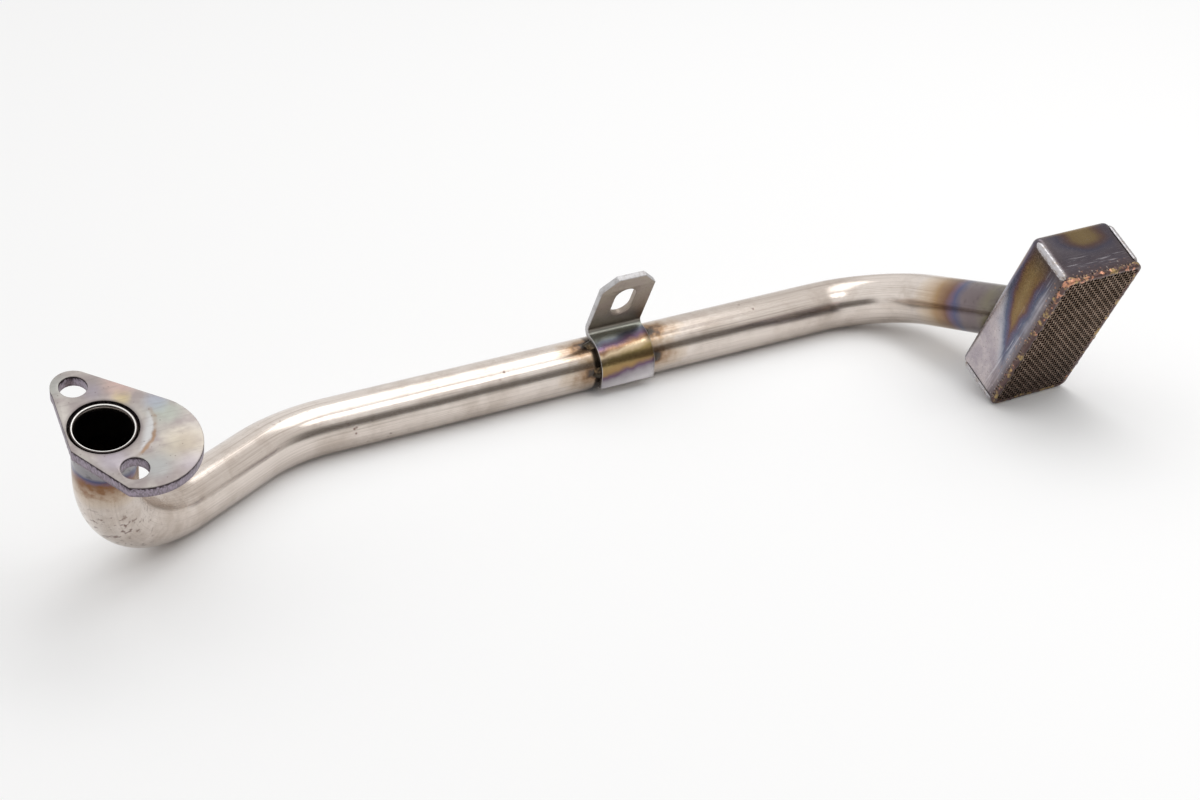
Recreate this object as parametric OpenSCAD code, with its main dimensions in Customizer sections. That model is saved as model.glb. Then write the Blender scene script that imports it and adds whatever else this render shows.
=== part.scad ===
// Welded steel oil pickup for a V8 engine: a bent suction tube with a bolt-on pump flange,
// a slotted support strap and a folded strainer box whose open side carries a wire screen.
// It lies on the floor as it comes to rest: on the flat-lying tube and the strainer's lower edge.
// +X runs along the tube's long straight, +Z is up and the floor is z = 0.

/* [Tube] */
// Outside diameter of the tube
tube_od = 22.2; // [16:0.1:30]
// Wall thickness of the tube
tube_wall = 1.65; // [0.8:0.05:2.5]
// From the flange's mating face to the corner of the elbow
leg_flange = 66.4; // [60:0.2:90]
// From the corner of the elbow to the corner of the kick
leg_kick = 99.8; // [84:0.2:140]
// From the corner of the kick to the corner of the inlet bend
leg_long = 288; // [240:1:400]
// Level distance from the corner of the inlet bend to the strainer box
inlet_run = 87; // [75:0.5:120]
// Sideways turn of the kick
kick_angle = 31.4; // [20:0.2:40]
// Turn of the inlet leg past square to the long straight
inlet_skew = 3.7; // [0:0.1:8]
// Lean of the flange's axis towards the front, from upright
flange_tilt = 21.7; // [10:0.1:30]
// Lean of the flange's axis towards the outer end
flange_side = 1.6; // [0:0.1:6]
// Bend radius of the elbow, on the tube's axis
elbow_r = 52.6; // [36:0.2:56]
// Bend radius of the kick, on the tube's axis
kick_r = 67; // [40:1:90]
// Bend radius of the inlet bend, on the tube's axis
inlet_r = 38; // [30:0.5:50]

/* [Pump flange] */
// Thickness of the flange plate
flange_t = 4.8; // [3:0.1:8]
// Gap all round between the tube and the hole that it passes through
flange_gap = 0.7; // [0.2:0.1:1.5]
// How far the tube's end lies below the mating face
tube_recess = 0.4; // [0:0.1:1.5]
// Distance between the two bolt holes, which lie either side of the tube
bolt_pcd = 41.4; // [39:0.2:52]
// Diameter of the bolt holes
bolt_hole = 9.5; // [8:0.1:11]
// Turn of the line through the bolt holes
bolt_turn = 10.4; // [0:0.2:25]
// Metal round the bolt hole in the narrow lug
lug_wall = 2.8; // [2:0.1:6]
// Radius of the round pad under the other bolt hole
pad_r = 20.4; // [19:0.1:28]
// Sideways offset of the pad's centre from the tube
pad_x = 7.4; // [5:0.1:10]
// Offset of the pad's centre from the tube, towards the second bolt
pad_y = 11.3; // [9:0.1:14]
// Metal left beside the tube's hole at the plate's sawn corner
corner_wall = 2.6; // [1.5:0.1:6]

/* [Support strap] */
// Width of the strap along the tube
strap_w = 25.4; // [18:0.1:36]
// Thickness of the strap
strap_t = 2.6; // [2:0.1:5]
// Distance of the strap's middle from the corner of the kick
strap_pos = 148.5; // [100:0.5:180]
// Angle over which the strap follows the tube, from the fold to the lip
strap_wrap = 88; // [70:1:95]
// Place of the fold, in front of the tube's top
fold_angle = 12; // [5:1:20]
// Inside radius of the fold
fold_r = 2; // [1:0.1:4]
// Length of the straight lip at the strap's end
lip_len = 4.6; // [2:0.1:5]
// Height of the upright tab above the fold
tab_h = 30.2; // [26:0.2:45]
// Lean of the tab from upright
tab_lean = 30; // [15:0.5:40]
// Size of the tab's corner chamfers
tab_chamfer = 6.3; // [2:0.1:8]
// Width of the slot in the tab
slot_w = 10; // [7:0.1:13]
// Length of the slot in the tab, from end to end
slot_l = 16.4; // [14:0.1:18]
// From the tab's top edge to the slot's middle
slot_drop = 15.6; // [13:0.1:16]

/* [Strainer box] */
// Length of the box
box_l = 77.4; // [70:0.2:110]
// Width of the box
box_w = 38.4; // [34:0.2:60]
// Depth of the box from its back to the screen
box_d = 24.8; // [18:0.2:36]
// Thickness of the sheet
sheet_t = 1.5; // [1:0.1:2.5]
// Outside radius of the folds and corners
fold_out_r = 3; // [2.6:0.1:5]
// Lean of the box from upright
box_lean = 28; // [15:0.5:35]
// From the box's lower end to the middle of the tube's hole, along its back
entry_h = 23.8; // [21.6:0.2:40]
// How far the tube reaches past the inner face of the back
tube_stub = 1.5; // [0.5:0.1:4]

/* [Screen] */
// Thickness of the screen's wires
wire_t = 0.7; // [0.5:0.1:1]
// Width of the closed rim that is brazed to the box
rim_w = 3; // [2:0.1:5]
// Number of wires along the length
wires_long = 6; // [4:1:6]
// Number of wires across the width
wires_cross = 15; // [10:1:15]

/* [Welds and braze] */
// Leg length of the weld under the flange
flange_weld_leg = 3; // [2.5:0.1:6]
// Width of the weld round the tube at the box
box_weld_w = 3; // [2:0.1:4]
// Height of the weld round the tube at the box
box_weld_h = 2.4; // [1.5:0.1:4]
// Leg length of the tack welds beside the strap
tack_r = 2.6; // [1.5:0.1:3]
// Angle round the tube that each tack weld covers
tack_sweep = 24; // [12:1:32]
// Radius of the seam welds on the box's corners
seam_r = 1.1; // [0.6:0.1:1.5]
// Thickness of the braze round the screen
braze_t = 0.8; // [0.4:0.1:1.5]
// How far the braze runs down the box's sides
braze_lap = 2; // [1:0.1:4]
// Clearance between pieces that are welded together
fit = 0.05; // [0.02:0.01:0.2]

/* [Hidden] */
$fn = 96;

tube_r = tube_od / 2;
bore_r = tube_r - tube_wall;
flange_bore = tube_od + 2 * flange_gap;
screen_t = 2 * wire_t;
screen_end = box_d + fit + screen_t;
braze_end = box_d + screen_t / 2;
flange_weld_r = flange_bore / 2 + flange_weld_leg / 2;
// Cutters pass the faces that they cut by this much
over = 1;
// The bends' wall is this much thicker than the legs', which run into them by the lap
bend_swell = 0.02;
bend_lap = 0.5;
// Longest step between the points of an arc in an outline
arc_step = 6;

// Heights in the box's own frame, where y runs up its back and z from its back to the screen
box_drop = (entry_h + braze_t) * cos(box_lean) + braze_end * sin(box_lean);

// Corners of the tube's axis, from the flange to the strainer, before the part is centred
kick = [0, 0, tube_r + bend_swell];
elbow = kick - leg_kick * [cos(kick_angle), sin(kick_angle), 0];
flange_up = [-sin(flange_side), -cos(flange_side) * sin(flange_tilt), cos(flange_side) * cos(flange_tilt)];
flange_level = unit(cross([0, 1, 0], flange_up));
flange_x = cos(bolt_turn) * flange_level + sin(bolt_turn) * cross(flange_up, flange_level);
flange_y = cross(flange_up, flange_x);
mouth = elbow + leg_flange * flange_up;
inlet = kick + [leg_long, 0, 0];
entry = [inlet.x + inlet_run * sin(inlet_skew), -inlet_run * cos(inlet_skew), box_drop];
inlet_dir = unit(entry - inlet);
tube_end = entry + 2 * tube_od * inlet_dir;
path = [mouth - tube_recess * flange_up, elbow, kick, inlet, tube_end];
bends = [elbow_r, kick_r, inlet_r];

// The plate's sawn corners, and where its straight edges touch the lug and the pad
lug_r = bolt_hole / 2 + lug_wall;
lug_at = [0, bolt_pcd / 2];
pad_at = [pad_x, -pad_y];
corner_r = flange_bore / 2 + corner_wall;
corner_dir = 196;
sawn_dir = 230;
sawn_corner = corner_r * [cos(corner_dir), sin(corner_dir)];
sawn_end = pad_at + pad_r * [cos(sawn_dir), sin(sawn_dir)];

// The fold between the strap and its tab, seen along the tube and measured from the tube's axis
strap_in = tube_r + fit;
strap_out = strap_in + strap_t;
fold_at = (strap_out + fold_r) * [-sin(fold_angle), cos(fold_angle)];
lip_angle = fold_angle + strap_wrap;
tab_dir = [-sin(tab_lean), cos(tab_lean)];
tab_across = [cos(tab_lean), sin(tab_lean)];
tab_foot = fold_at + fold_r * tab_across;

// The box round the whole part, from which its origin is placed
flange_rounds = [[lug_at, lug_r, 0], [pad_at, pad_r, 0], [sawn_corner, 0, 0],
                 [[0, 0], flange_weld_r, flange_t + fit]];
low_x = mouth.x + min([for (c = flange_rounds) disc_low(c, 0)]);
high_x = entry.x + max(box_w / 2 + braze_t, tube_r);
box_reach = max(braze_t * sin(box_lean) + braze_end * cos(box_lean), screen_end * cos(box_lean));
box_low_y = entry.y - (box_l - entry_h) * sin(box_lean) - box_reach;
flange_low_y = mouth.y + min([for (c = flange_rounds) disc_low(c, 1)]);
low_y = min(box_low_y, flange_low_y);
high_y = tube_r + bend_swell;
origin = [(low_x + high_x) / 2, (low_y + high_y) / 2, 0];

function unit(v) = v / norm(v);

// Lowest place along one of the part's axes of a disc at a depth below the flange's face, from its middle
function disc_low(disc, axis) =
    disc[0].x * flange_x[axis] + disc[0].y * flange_y[axis] - disc[2] * flange_up[axis]
    - disc[1] * norm([flange_x[axis], flange_y[axis]]);

// Turn between two directions
function turn(a, b) = acos(max(-1, min(1, a * b)));

// Length that a bend takes from each of the legs that it joins
function tangent(p, i, r) = r * tan(turn(unit(p[i] - p[i - 1]), unit(p[i + 1] - p[i])) / 2);

// A direction square to d
function beside(d) = unit(abs(d.z) < 0.9 ? cross(d, [0, 0, 1]) : cross(d, [1, 0, 0]));

// Places what is drawn in a frame with the given axes and origin
module in_frame(x, y, z, at) {
    multmatrix([[x.x, y.x, z.x, at.x], [x.y, y.y, z.y, at.y], [x.z, y.z, z.z, at.z], [0, 0, 0, 1]])
        children();
}

// A rod from one point to another
module rod(from, to, r) {
    d = unit(to - from);
    b = beside(d);
    in_frame(b, cross(d, b), d, from)
        cylinder(r = r, h = norm(to - from));
}

// The tube's section, with its wall thicker by grow on both sides
module tube_section(grow) {
    difference() {
        circle(r = tube_r + grow);
        circle(r = bore_r - grow);
    }
}

// A straight stretch of tube, which runs into the bends at its ends by the laps given
module tube_leg(from, to, lap_from, lap_to) {
    d = unit(to - from);
    b = beside(d);
    in_frame(b, cross(d, b), d, from - lap_from * d)
        linear_extrude(norm(to - from) + lap_from + lap_to)
            tube_section(0);
}

// The bent stretch of tube at one corner of a path
module tube_bend(p, i, bend_r) {
    a = unit(p[i] - p[i - 1]);
    b = unit(p[i + 1] - p[i]);
    inward = unit(b - (b * a) * a);
    start = p[i] - tangent(p, i, bend_r) * a;
    in_frame(-inward, a, cross(a, inward), start + bend_r * inward)
        rotate_extrude(angle = turn(a, b))
            translate([bend_r, 0])
                tube_section(bend_swell);
}

// A tube along a whole path, bent at each inner corner
module bent_tube(p, radii) {
    last = len(p) - 1;
    for (i = [0 : last - 1]) {
        d = unit(p[i + 1] - p[i]);
        from = i == 0 ? p[0] : p[i] + tangent(p, i, radii[i - 1]) * d;
        to = i + 1 == last ? p[last] : p[i + 1] - tangent(p, i + 1, radii[i]) * d;
        tube_leg(from, to, i == 0 ? 0 : bend_lap, i + 1 == last ? 0 : bend_lap);
    }
    for (i = [1 : last - 1])
        tube_bend(p, i, radii[i - 1]);
}

// Frame of the flange: its mating face is z = 0 and z points out of it
module at_flange() {
    in_frame(flange_x, flange_y, flange_up, mouth - origin)
        children();
}

// Frame of the strainer box: x across, y up its back from the tube's hole, z out to the screen
module at_box() {
    translate(entry - origin)
        rotate([90 + box_lean, 0, 0])
            children();
}

// Frame of the strap: drawn in the plane across the tube and extruded along it, from its middle
module at_strap() {
    translate(kick + [strap_pos, 0, 0] - origin)
        rotate([90, 0, 90])
            children();
}

// The tube's last leg as a solid rod, in the part's own place
module inlet_rod(r) {
    translate(-origin)
        rod(inlet, tube_end, r);
}

module pickup_tube() {
    color("silver")
    difference() {
        translate(-origin)
            bent_tube(path, bends);
        // The end inside the box is cut level with the box's back
        at_box()
            translate([-box_l, -box_l, sheet_t + tube_stub])
                cube([2 * box_l, 2 * box_l, 2 * box_l]);
    }
}

// Corner points where the line that touches two circles on its right leaves each of them
function right_touch(a, ra, b, rb) =
    let (d = b - a, along = atan2(d.y, d.x), lean = asin((ra - rb) / norm(d)))
    [for (c = [[a, ra], [b, rb]]) c[0] + c[1] * [cos(along + 90 - lean), sin(along + 90 - lean)]];

module flange_outline() {
    edge = right_touch(lug_at, lug_r, pad_at, pad_r);
    translate(lug_at)
        circle(r = lug_r);
    translate(pad_at)
        circle(r = pad_r);
    polygon([lug_at + [-lug_r, 0], sawn_corner, sawn_end, pad_at, edge[1], edge[0], lug_at]);
}

module pump_flange() {
    color("gray")
    at_flange()
        difference() {
            translate([0, 0, -flange_t])
                linear_extrude(flange_t)
                    flange_outline();
            translate([0, 0, -flange_t - over])
                cylinder(d = flange_bore, h = flange_t + 2 * over);
            for (side = [-1, 1])
                translate([0, side * bolt_pcd / 2, -flange_t - over])
                    cylinder(d = bolt_hole, h = flange_t + 2 * over);
        }
}

module flange_weld() {
    color("dimgray")
    at_flange()
        translate([0, 0, -flange_t - fit])
            rotate_extrude()
                polygon([[tube_r + fit, 0], [flange_weld_r, 0],
                         [tube_r + fit, -flange_weld_leg - flange_gap]]);
}

// Points along an arc, one for each arc_step or less
function arc(at, r, from, to) =
    let (steps = ceil(abs(to - from) / arc_step))
    [for (i = [0 : steps]) let (a = from + (to - from) * i / steps) at + r * [cos(a), sin(a)]];

// The strap's section: lip, wrap, fold and tab as one sheet of even thickness
module strap_section() {
    lip_out = [-sin(lip_angle), cos(lip_angle)];
    lip_end = lip_len * [-cos(lip_angle), -sin(lip_angle)];
    tab_top = tab_foot + tab_h * tab_dir;
    polygon(concat(
        [strap_out * lip_out + lip_end],
        arc([0, 0], strap_out, 90 + lip_angle, 90 + fold_angle),
        arc(fold_at, fold_r, fold_angle - 90, tab_lean),
        [tab_top, tab_top + strap_t * tab_across],
        arc(fold_at, fold_r + strap_t, tab_lean, fold_angle - 90),
        arc([0, 0], strap_in, 90 + fold_angle, 90 + lip_angle),
        [strap_in * lip_out + lip_end]));
}

module support_strap() {
    color("darkkhaki")
    difference() {
        at_strap()
            translate([0, 0, -strap_w / 2])
                linear_extrude(strap_w)
                    strap_section();
        at_tab_plane()
            tab_cuts();
    }
}

// Frame of the tab for cutting: x up the tab from its foot, y along the tube, z through its thickness
module at_tab_plane() {
    foot = kick + [strap_pos, tab_foot.x, tab_foot.y] - origin;
    in_frame([0, tab_dir.x, tab_dir.y], [1, 0, 0], [0, tab_across.x, tab_across.y], foot)
        children();
}

// The slot and the two corner chamfers, as one set of cutters through the tab
module tab_cuts() {
    reach = (slot_l - slot_w) / 2;
    translate([tab_h - slot_drop, 0, -over]) {
        for (end = [-1, 1])
            translate([end * reach, 0, 0])
                cylinder(d = slot_w, h = strap_t + 2 * over);
        translate([-reach, -slot_w / 2, 0])
            cube([2 * reach, slot_w, strap_t + 2 * over]);
    }
    for (side = [-1, 1])
        translate([tab_h, side * strap_w / 2, -over])
            rotate(45)
                translate([-tab_chamfer / sqrt(2), -tab_chamfer / sqrt(2), 0])
                    cube([sqrt(2) * tab_chamfer, sqrt(2) * tab_chamfer, strap_t + 2 * over]);
}

// A quarter round bead with its corner at the origin
module bead_section() {
    intersection() {
        circle(r = tack_r);
        square(tack_r + over);
    }
}

module strap_tacks() {
    color("saddlebrown")
    at_strap()
        for (side = [0, 1], angle = [fold_angle, lip_angle - tack_sweep])
            mirror([0, 0, side])
                rotate(90 + angle)
                    rotate_extrude(angle = tack_sweep)
                        translate([strap_in, strap_w / 2 + fit])
                            bead_section();
}

module rounded_rect(x, y, r) {
    square([x - 2 * r, y], center = true);
    square([x, y - 2 * r], center = true);
    for (sx = [-1, 1], sy = [-1, 1])
        translate([sx * (x / 2 - r), sy * (y / 2 - r)])
            circle(r = r);
}

// An outline from y = 0 upwards whose two lower corners are round
module rounded_foot(x, h, r) {
    translate([-x / 2, r])
        square([x, h - r]);
    translate([-x / 2 + r, 0])
        square([x - 2 * r, h]);
    for (sx = [-1, 1])
        translate([sx * (x / 2 - r), r])
            circle(r = r);
}

// A block with round upright corners and round lower edges, its lower face on z = 0
module folded_block(x, y, z, r) {
    intersection() {
        linear_extrude(z)
            rounded_rect(x, y, r);
        rotate([90, 0, 0])
            translate([0, 0, -y])
                linear_extrude(2 * y)
                    rounded_foot(x, z, r);
        rotate([90, 0, 90])
            translate([0, 0, -x])
                linear_extrude(2 * x)
                    rounded_foot(y, z, r);
    }
}

// Frame of the box with its origin at the middle of its back
module at_box_middle() {
    at_box()
        translate([0, box_l / 2 - entry_h, 0])
            children();
}

module screen_box() {
    color("dimgray")
    difference() {
        at_box_middle()
            folded_block(box_w, box_l, box_d, fold_out_r);
        at_box_middle()
            translate([0, 0, sheet_t])
                folded_block(box_w - 2 * sheet_t, box_l - 2 * sheet_t, box_d, fold_out_r - sheet_t);
        inlet_rod(tube_r + fit);
    }
}

module corner_welds() {
    color("lightgray")
    at_box_middle()
        difference() {
            for (sx = [-1, 1], sy = [-1, 1])
                translate([sx * (box_w / 2 - fold_out_r * (1 - sqrt(0.5))),
                           sy * (box_l / 2 - fold_out_r * (1 - sqrt(0.5))), fold_out_r])
                    cylinder(r = seam_r, h = box_d - fold_out_r - braze_lap - fit);
            linear_extrude(box_d)
                rounded_rect(box_w + 2 * fit, box_l + 2 * fit, fold_out_r + fit);
        }
}

module box_weld() {
    color("darkslategray")
    difference() {
        intersection() {
            inlet_rod(tube_r + box_weld_w);
            at_box()
                translate([-box_l, -box_l, -box_weld_h - fit])
                    cube([2 * box_l, 2 * box_l, box_weld_h]);
        }
        inlet_rod(tube_r + fit);
    }
}

module wire_screen() {
    field_w = box_w - 2 * rim_w;
    field_l = box_l - 2 * rim_w;
    color("saddlebrown")
    at_box_middle()
        translate([0, 0, box_d + fit]) {
            difference() {
                linear_extrude(screen_t)
                    rounded_rect(box_w, box_l, fold_out_r);
                translate([-field_w / 2, -field_l / 2, -over])
                    cube([field_w, field_l, screen_t + 2 * over]);
            }
            // The two layers of wire cross with half their thickness in each other
            for (i = [1 : wires_long]) {
                wire_x = field_w * (i / (wires_long + 1) - 0.5) - wire_t / 2;
                translate([wire_x, -field_l / 2 - over, wire_t / 2])
                    cube([wire_t, field_l + 2 * over, wire_t]);
            }
            for (i = [1 : wires_cross]) {
                wire_y = field_l * (i / (wires_cross + 1) - 0.5) - wire_t / 2;
                translate([-field_w / 2 - over, wire_y, wire_t / 4])
                    cube([field_w + 2 * over, wire_t, wire_t]);
            }
        }
}

module screen_braze() {
    color("peru")
    at_box_middle()
        translate([0, 0, box_d - braze_lap])
            linear_extrude(braze_end - box_d + braze_lap)
                difference() {
                    rounded_rect(box_w + 2 * braze_t, box_l + 2 * braze_t, fold_out_r + braze_t);
                    rounded_rect(box_w + 2 * fit, box_l + 2 * fit, fold_out_r + fit);
                }
}

pickup_tube();
pump_flange();
flange_weld();
support_strap();
strap_tacks();
screen_box();
corner_welds();
box_weld();
wire_screen();
screen_braze();
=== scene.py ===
import math
from types import SimpleNamespace

import bmesh
import bpy
import numpy as np
from bpy.props import FloatProperty, FloatVectorProperty, PointerProperty
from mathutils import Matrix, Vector, noise


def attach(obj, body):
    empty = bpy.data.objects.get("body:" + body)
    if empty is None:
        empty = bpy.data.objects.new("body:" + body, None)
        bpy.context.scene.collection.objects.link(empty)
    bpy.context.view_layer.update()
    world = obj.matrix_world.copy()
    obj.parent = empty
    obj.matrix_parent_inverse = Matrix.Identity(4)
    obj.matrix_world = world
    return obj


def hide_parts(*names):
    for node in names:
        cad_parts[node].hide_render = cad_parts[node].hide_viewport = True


bl_info = {
    "name": "Oil pickup tube",
    "version": (1, 0, 0),
    "blender": (4, 5, 0),
    "location": "3D View > Sidebar > Pickup",
    "description": "Dresses an oil pickup's solids: drawn tube, pump plate, strap, strainer, beads and screen",
    "category": "Object",
}

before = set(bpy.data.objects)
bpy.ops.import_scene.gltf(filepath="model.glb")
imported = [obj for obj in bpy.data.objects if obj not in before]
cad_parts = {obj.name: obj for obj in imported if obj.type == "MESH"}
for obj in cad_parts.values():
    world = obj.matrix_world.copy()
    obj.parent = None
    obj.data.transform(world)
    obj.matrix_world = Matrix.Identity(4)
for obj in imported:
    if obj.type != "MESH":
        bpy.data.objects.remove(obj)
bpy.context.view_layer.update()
MM = 0.001  # a millimetre in metres
CLEAR = 0.05  # gap that is left between pieces that touch, in millimetres
SAWN_CORNER = 196  # place of the pump flange's sawn corner, in degrees round its plate
BODY = "root"


def screen_colour(red, green, blue):
    """A colour as seen on a screen, 0 to 255, as the linear colour that a shader takes."""
    def linear(value):
        value /= 255.0
        return value / 12.92 if value <= 0.04045 else ((value + 0.055) / 1.055) ** 2.4
    return tuple(linear(v) for v in (red, green, blue))


# Shades of the finishes, as seen on a screen in white light, besides the main colours below; some stand for painted
# shade or painted highlights, as said where they are used.
SHADE = SimpleNamespace(**{name: screen_colour(*seen) for name, seen in {
    # tube
    "draw_line": (146, 134, 122), "hair_line": (150, 138, 128), "dark_bronze": (118, 80, 46), "rust": (126, 84, 50),
    "dull_elbow": (166, 148, 132), "olive_scale": (104, 98, 82), "weld_grey": (98, 87, 90),
    "weld_lilac": (106, 95, 100), "burnt_brown": (104, 66, 42), "olive_soot": (72, 64, 44), "grey_soot": (86, 74, 76),
    "tack_brown": (92, 66, 44), "tack_bronze": (134, 98, 56), "pit_rust": (94, 52, 36), "speck": (110, 98, 86),
    "mouth_dark": (80, 72, 70), "mouth_bright": (250, 248, 244),
    # pump flange
    "plate_patch": (164, 154, 152), "pale_ring": (212, 212, 212), "brown_ring": (160, 132, 108),
    "hole_shade": (120, 112, 112), "scuff": (138, 130, 128), "plate_pit": (112, 100, 96),
    "edge_lilac": (164, 153, 166), "edge_burr": (66, 56, 60), "edge_low": (104, 88, 92), "saw_tick": (52, 44, 48),
    # strap
    "strip_patch": (156, 144, 136), "strip_scale": (108, 96, 88), "fold_shade": (92, 78, 70),
    "lip_bright": (204, 200, 202), "lip_grey": (160, 154, 158), "strap_bronze": (150, 122, 84),
    "strap_gold": (170, 150, 104), "strap_straw": (222, 200, 168), "strap_brown": (150, 118, 92),
    "strap_blue": (112, 116, 128), "strap_green": (186, 192, 182), "strap_pale": (190, 192, 182),
    "shear_dull": (150, 144, 142),
    # strainer box
    "sheet_patch": (164, 155, 161), "pale_blue": (160, 164, 176), "sheet_blue": (86, 96, 120),
    "sheet_purple": (88, 80, 104), "sheet_brown": (108, 82, 78), "sheet_bronze": (134, 108, 74),
    "sheet_gold": (152, 130, 90), "end_dark": (74, 69, 78), "end_grey": (96, 92, 100), "end_blue": (78, 76, 90),
    "end_brown": (96, 78, 74), "end_bronze": (122, 104, 76), "end_gold": (132, 114, 82), "back_olive": (96, 88, 70),
    "streak_dark": (112, 101, 106), "streak_light": (196, 192, 198), "rim_burnt": (84, 70, 70),
    "rim_speck": (214, 204, 198), "corner_shade": (92, 82, 82), "spatter": (188, 142, 112), "sheet_pit": (96, 84, 80),
    "sheet_dull": (120, 110, 112),
    # welds, screen and braze
    "bead_light": (134, 122, 106), "seam_brown": (150, 132, 116), "seam_dull": (126, 118, 118),
    "wire_brown": (120, 101, 86), "wire_dark": (84, 70, 66), "wire_glint": (206, 186, 166), "flux": (98, 80, 78),
    "braze_gold": (190, 164, 112), "flux_dark": (70, 54, 50),
}.items()})


def length(name, description, default_mm):
    """A length property, whose default is given in millimetres."""
    return FloatProperty(name=name, description=description, default=default_mm * MM, unit="LENGTH", precision=5)


def place(name, description, default_mm):
    """A point property, whose default is given in millimetres."""
    return FloatVectorProperty(name=name, description=description, size=3, subtype="TRANSLATION", unit="LENGTH",
                               precision=6, default=tuple(v * MM for v in default_mm))


def angle(name, description, degrees):
    """An angle property, whose default is given in degrees."""
    return FloatProperty(name=name, description=description, default=math.radians(degrees), subtype="ANGLE")


def colour(name, description, red, green, blue):
    """A colour property, whose default is given as seen on a screen."""
    return FloatVectorProperty(name=name, description=description, size=3, subtype="COLOR", min=0.0, max=1.0,
                               default=screen_colour(red, green, blue))


class PickupTubeSizes(bpy.types.PropertyGroup):
    """The bent tube: its section, the corners of its axis and its bends."""
    outside: length("Outside diameter", "Outside diameter of the tube", 22.2)
    wall: length("Wall", "Wall thickness of the tube", 1.65)
    recess: length("Recess", "How far the tube's end lies below the mating face", 0.4)
    mouth: place("Mouth", "Middle of the flange's mating face", (-193.7466, -14.5185, 72.7903))
    elbow: place("Elbow", "Corner of the axis at the elbow", (-191.8926, 10.0231, 11.12))
    kick: place("Kick", "Corner of the axis at the kick", (-106.7083, 62.0199, 11.12))
    inlet: place("Inlet bend", "Corner of the axis at the inlet bend", (181.2917, 62.0199, 11.12))
    entry: place("Entry", "Where the axis meets the strainer's back", (186.9060, -24.7988, 33.692))
    elbow_r: length("Elbow radius", "Bend radius of the elbow", 52.6)
    kick_r: length("Kick radius", "Bend radius of the kick", 67.0)
    inlet_r: length("Inlet radius", "Bend radius of the inlet bend", 38.0)


class PickupPlateSizes(bpy.types.PropertyGroup):
    """The pump flange's plate and the bead under it."""
    thick: length("Thickness", "Thickness of the plate", 4.8)
    hole: length("Tube hole", "Diameter of the hole that the tube passes through", 23.6)
    bolt_pcd: length("Bolt spacing", "Distance between the bolt holes", 41.4)
    bolt_hole: length("Bolt hole", "Diameter of the bolt holes", 9.5)
    turn: angle("Turn", "Turn of the line through the bolt holes", 10.4)
    lug_r: length("Lug radius", "Radius of the narrow lug", 7.55)
    pad_r: length("Pad radius", "Radius of the round pad", 20.4)
    pad_x: length("Pad offset across", "Sideways offset of the pad from the tube", 7.4)
    pad_y: length("Pad offset along", "Offset of the pad towards the second bolt", 11.3)
    corner_r: length("Corner reach", "Distance of the sawn corner from the tube's middle", 14.4)
    bead_r: length("Bead reach", "Outside radius of the bead under the plate", 13.3)
    bead_h: length("Bead height", "Height of the bead under the plate", 3.7)


class PickupStrapSizes(bpy.types.PropertyGroup):
    """The strap that follows the tube's front, with its tab and tacks."""
    width: length("Width", "Width of the strap along the tube", 25.4)
    thick: length("Thickness", "Thickness of the strip", 2.6)
    middle: length("Middle", "Distance of the strap's middle from the kick's corner", 148.5)
    fold_at: angle("Fold place", "Place of the fold in front of the tube's top", 12.0)
    wrap: angle("Wrap", "Angle over which the strap follows the tube", 88.0)
    fold_r: length("Fold radius", "Inside radius of the fold", 2.0)
    lip: length("Lip", "Length of the straight lip", 4.6)
    tab_h: length("Tab height", "Height of the tab above the fold", 30.2)
    tab_lean: angle("Tab lean", "Lean of the tab from upright", 30.0)
    clip: length("Clipped corner", "Size of the tab's clipped corners", 6.3)
    slot_w: length("Slot width", "Width of the slot", 10.0)
    slot_l: length("Slot length", "Length of the slot, up the tab", 16.4)
    slot_drop: length("Slot drop", "From the tab's top edge to the slot's middle", 15.6)
    tack_r: length("Tack size", "Leg length of the tacks beside the strap", 2.6)
    tack_sweep: angle("Tack sweep", "Angle round the tube that a tack covers", 24.0)


class PickupBoxSizes(bpy.types.PropertyGroup):
    """The folded strainer box, its screen and its braze."""
    long: length("Length", "Length of the box", 77.4)
    wide: length("Width", "Width of the box", 38.4)
    deep: length("Depth", "Depth from the back to the screen", 24.8)
    sheet: length("Sheet", "Thickness of the sheet", 1.5)
    fold_r: length("Fold radius", "Outside radius of the folds", 3.0)
    lean: angle("Lean", "Lean of the box from upright", 28.0)
    entry_h: length("Entry height", "From the lower end to the tube's hole", 23.8)
    stub: length("Tube stub", "How far the tube reaches past the back's inner face", 1.5)
    bead_w: length("Entry bead width", "Width of the bead round the tube", 3.0)
    bead_h: length("Entry bead height", "Height of the bead round the tube", 2.4)
    seam_r: length("Seam bead", "Radius of the beads on the box's corners", 1.1)
    braze_t: length("Braze", "Thickness of the braze round the screen", 0.8)
    braze_lap: length("Braze lap", "How far the braze runs down the sides", 2.0)
    braze_in: length("Braze reach", "How far the braze runs in over the screen", 2.4)
    wire: length("Wire", "Diameter of the screen's wires", 0.5)
    pitch: length("Pitch", "Distance between the screen's wires", 1.7)


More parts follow.
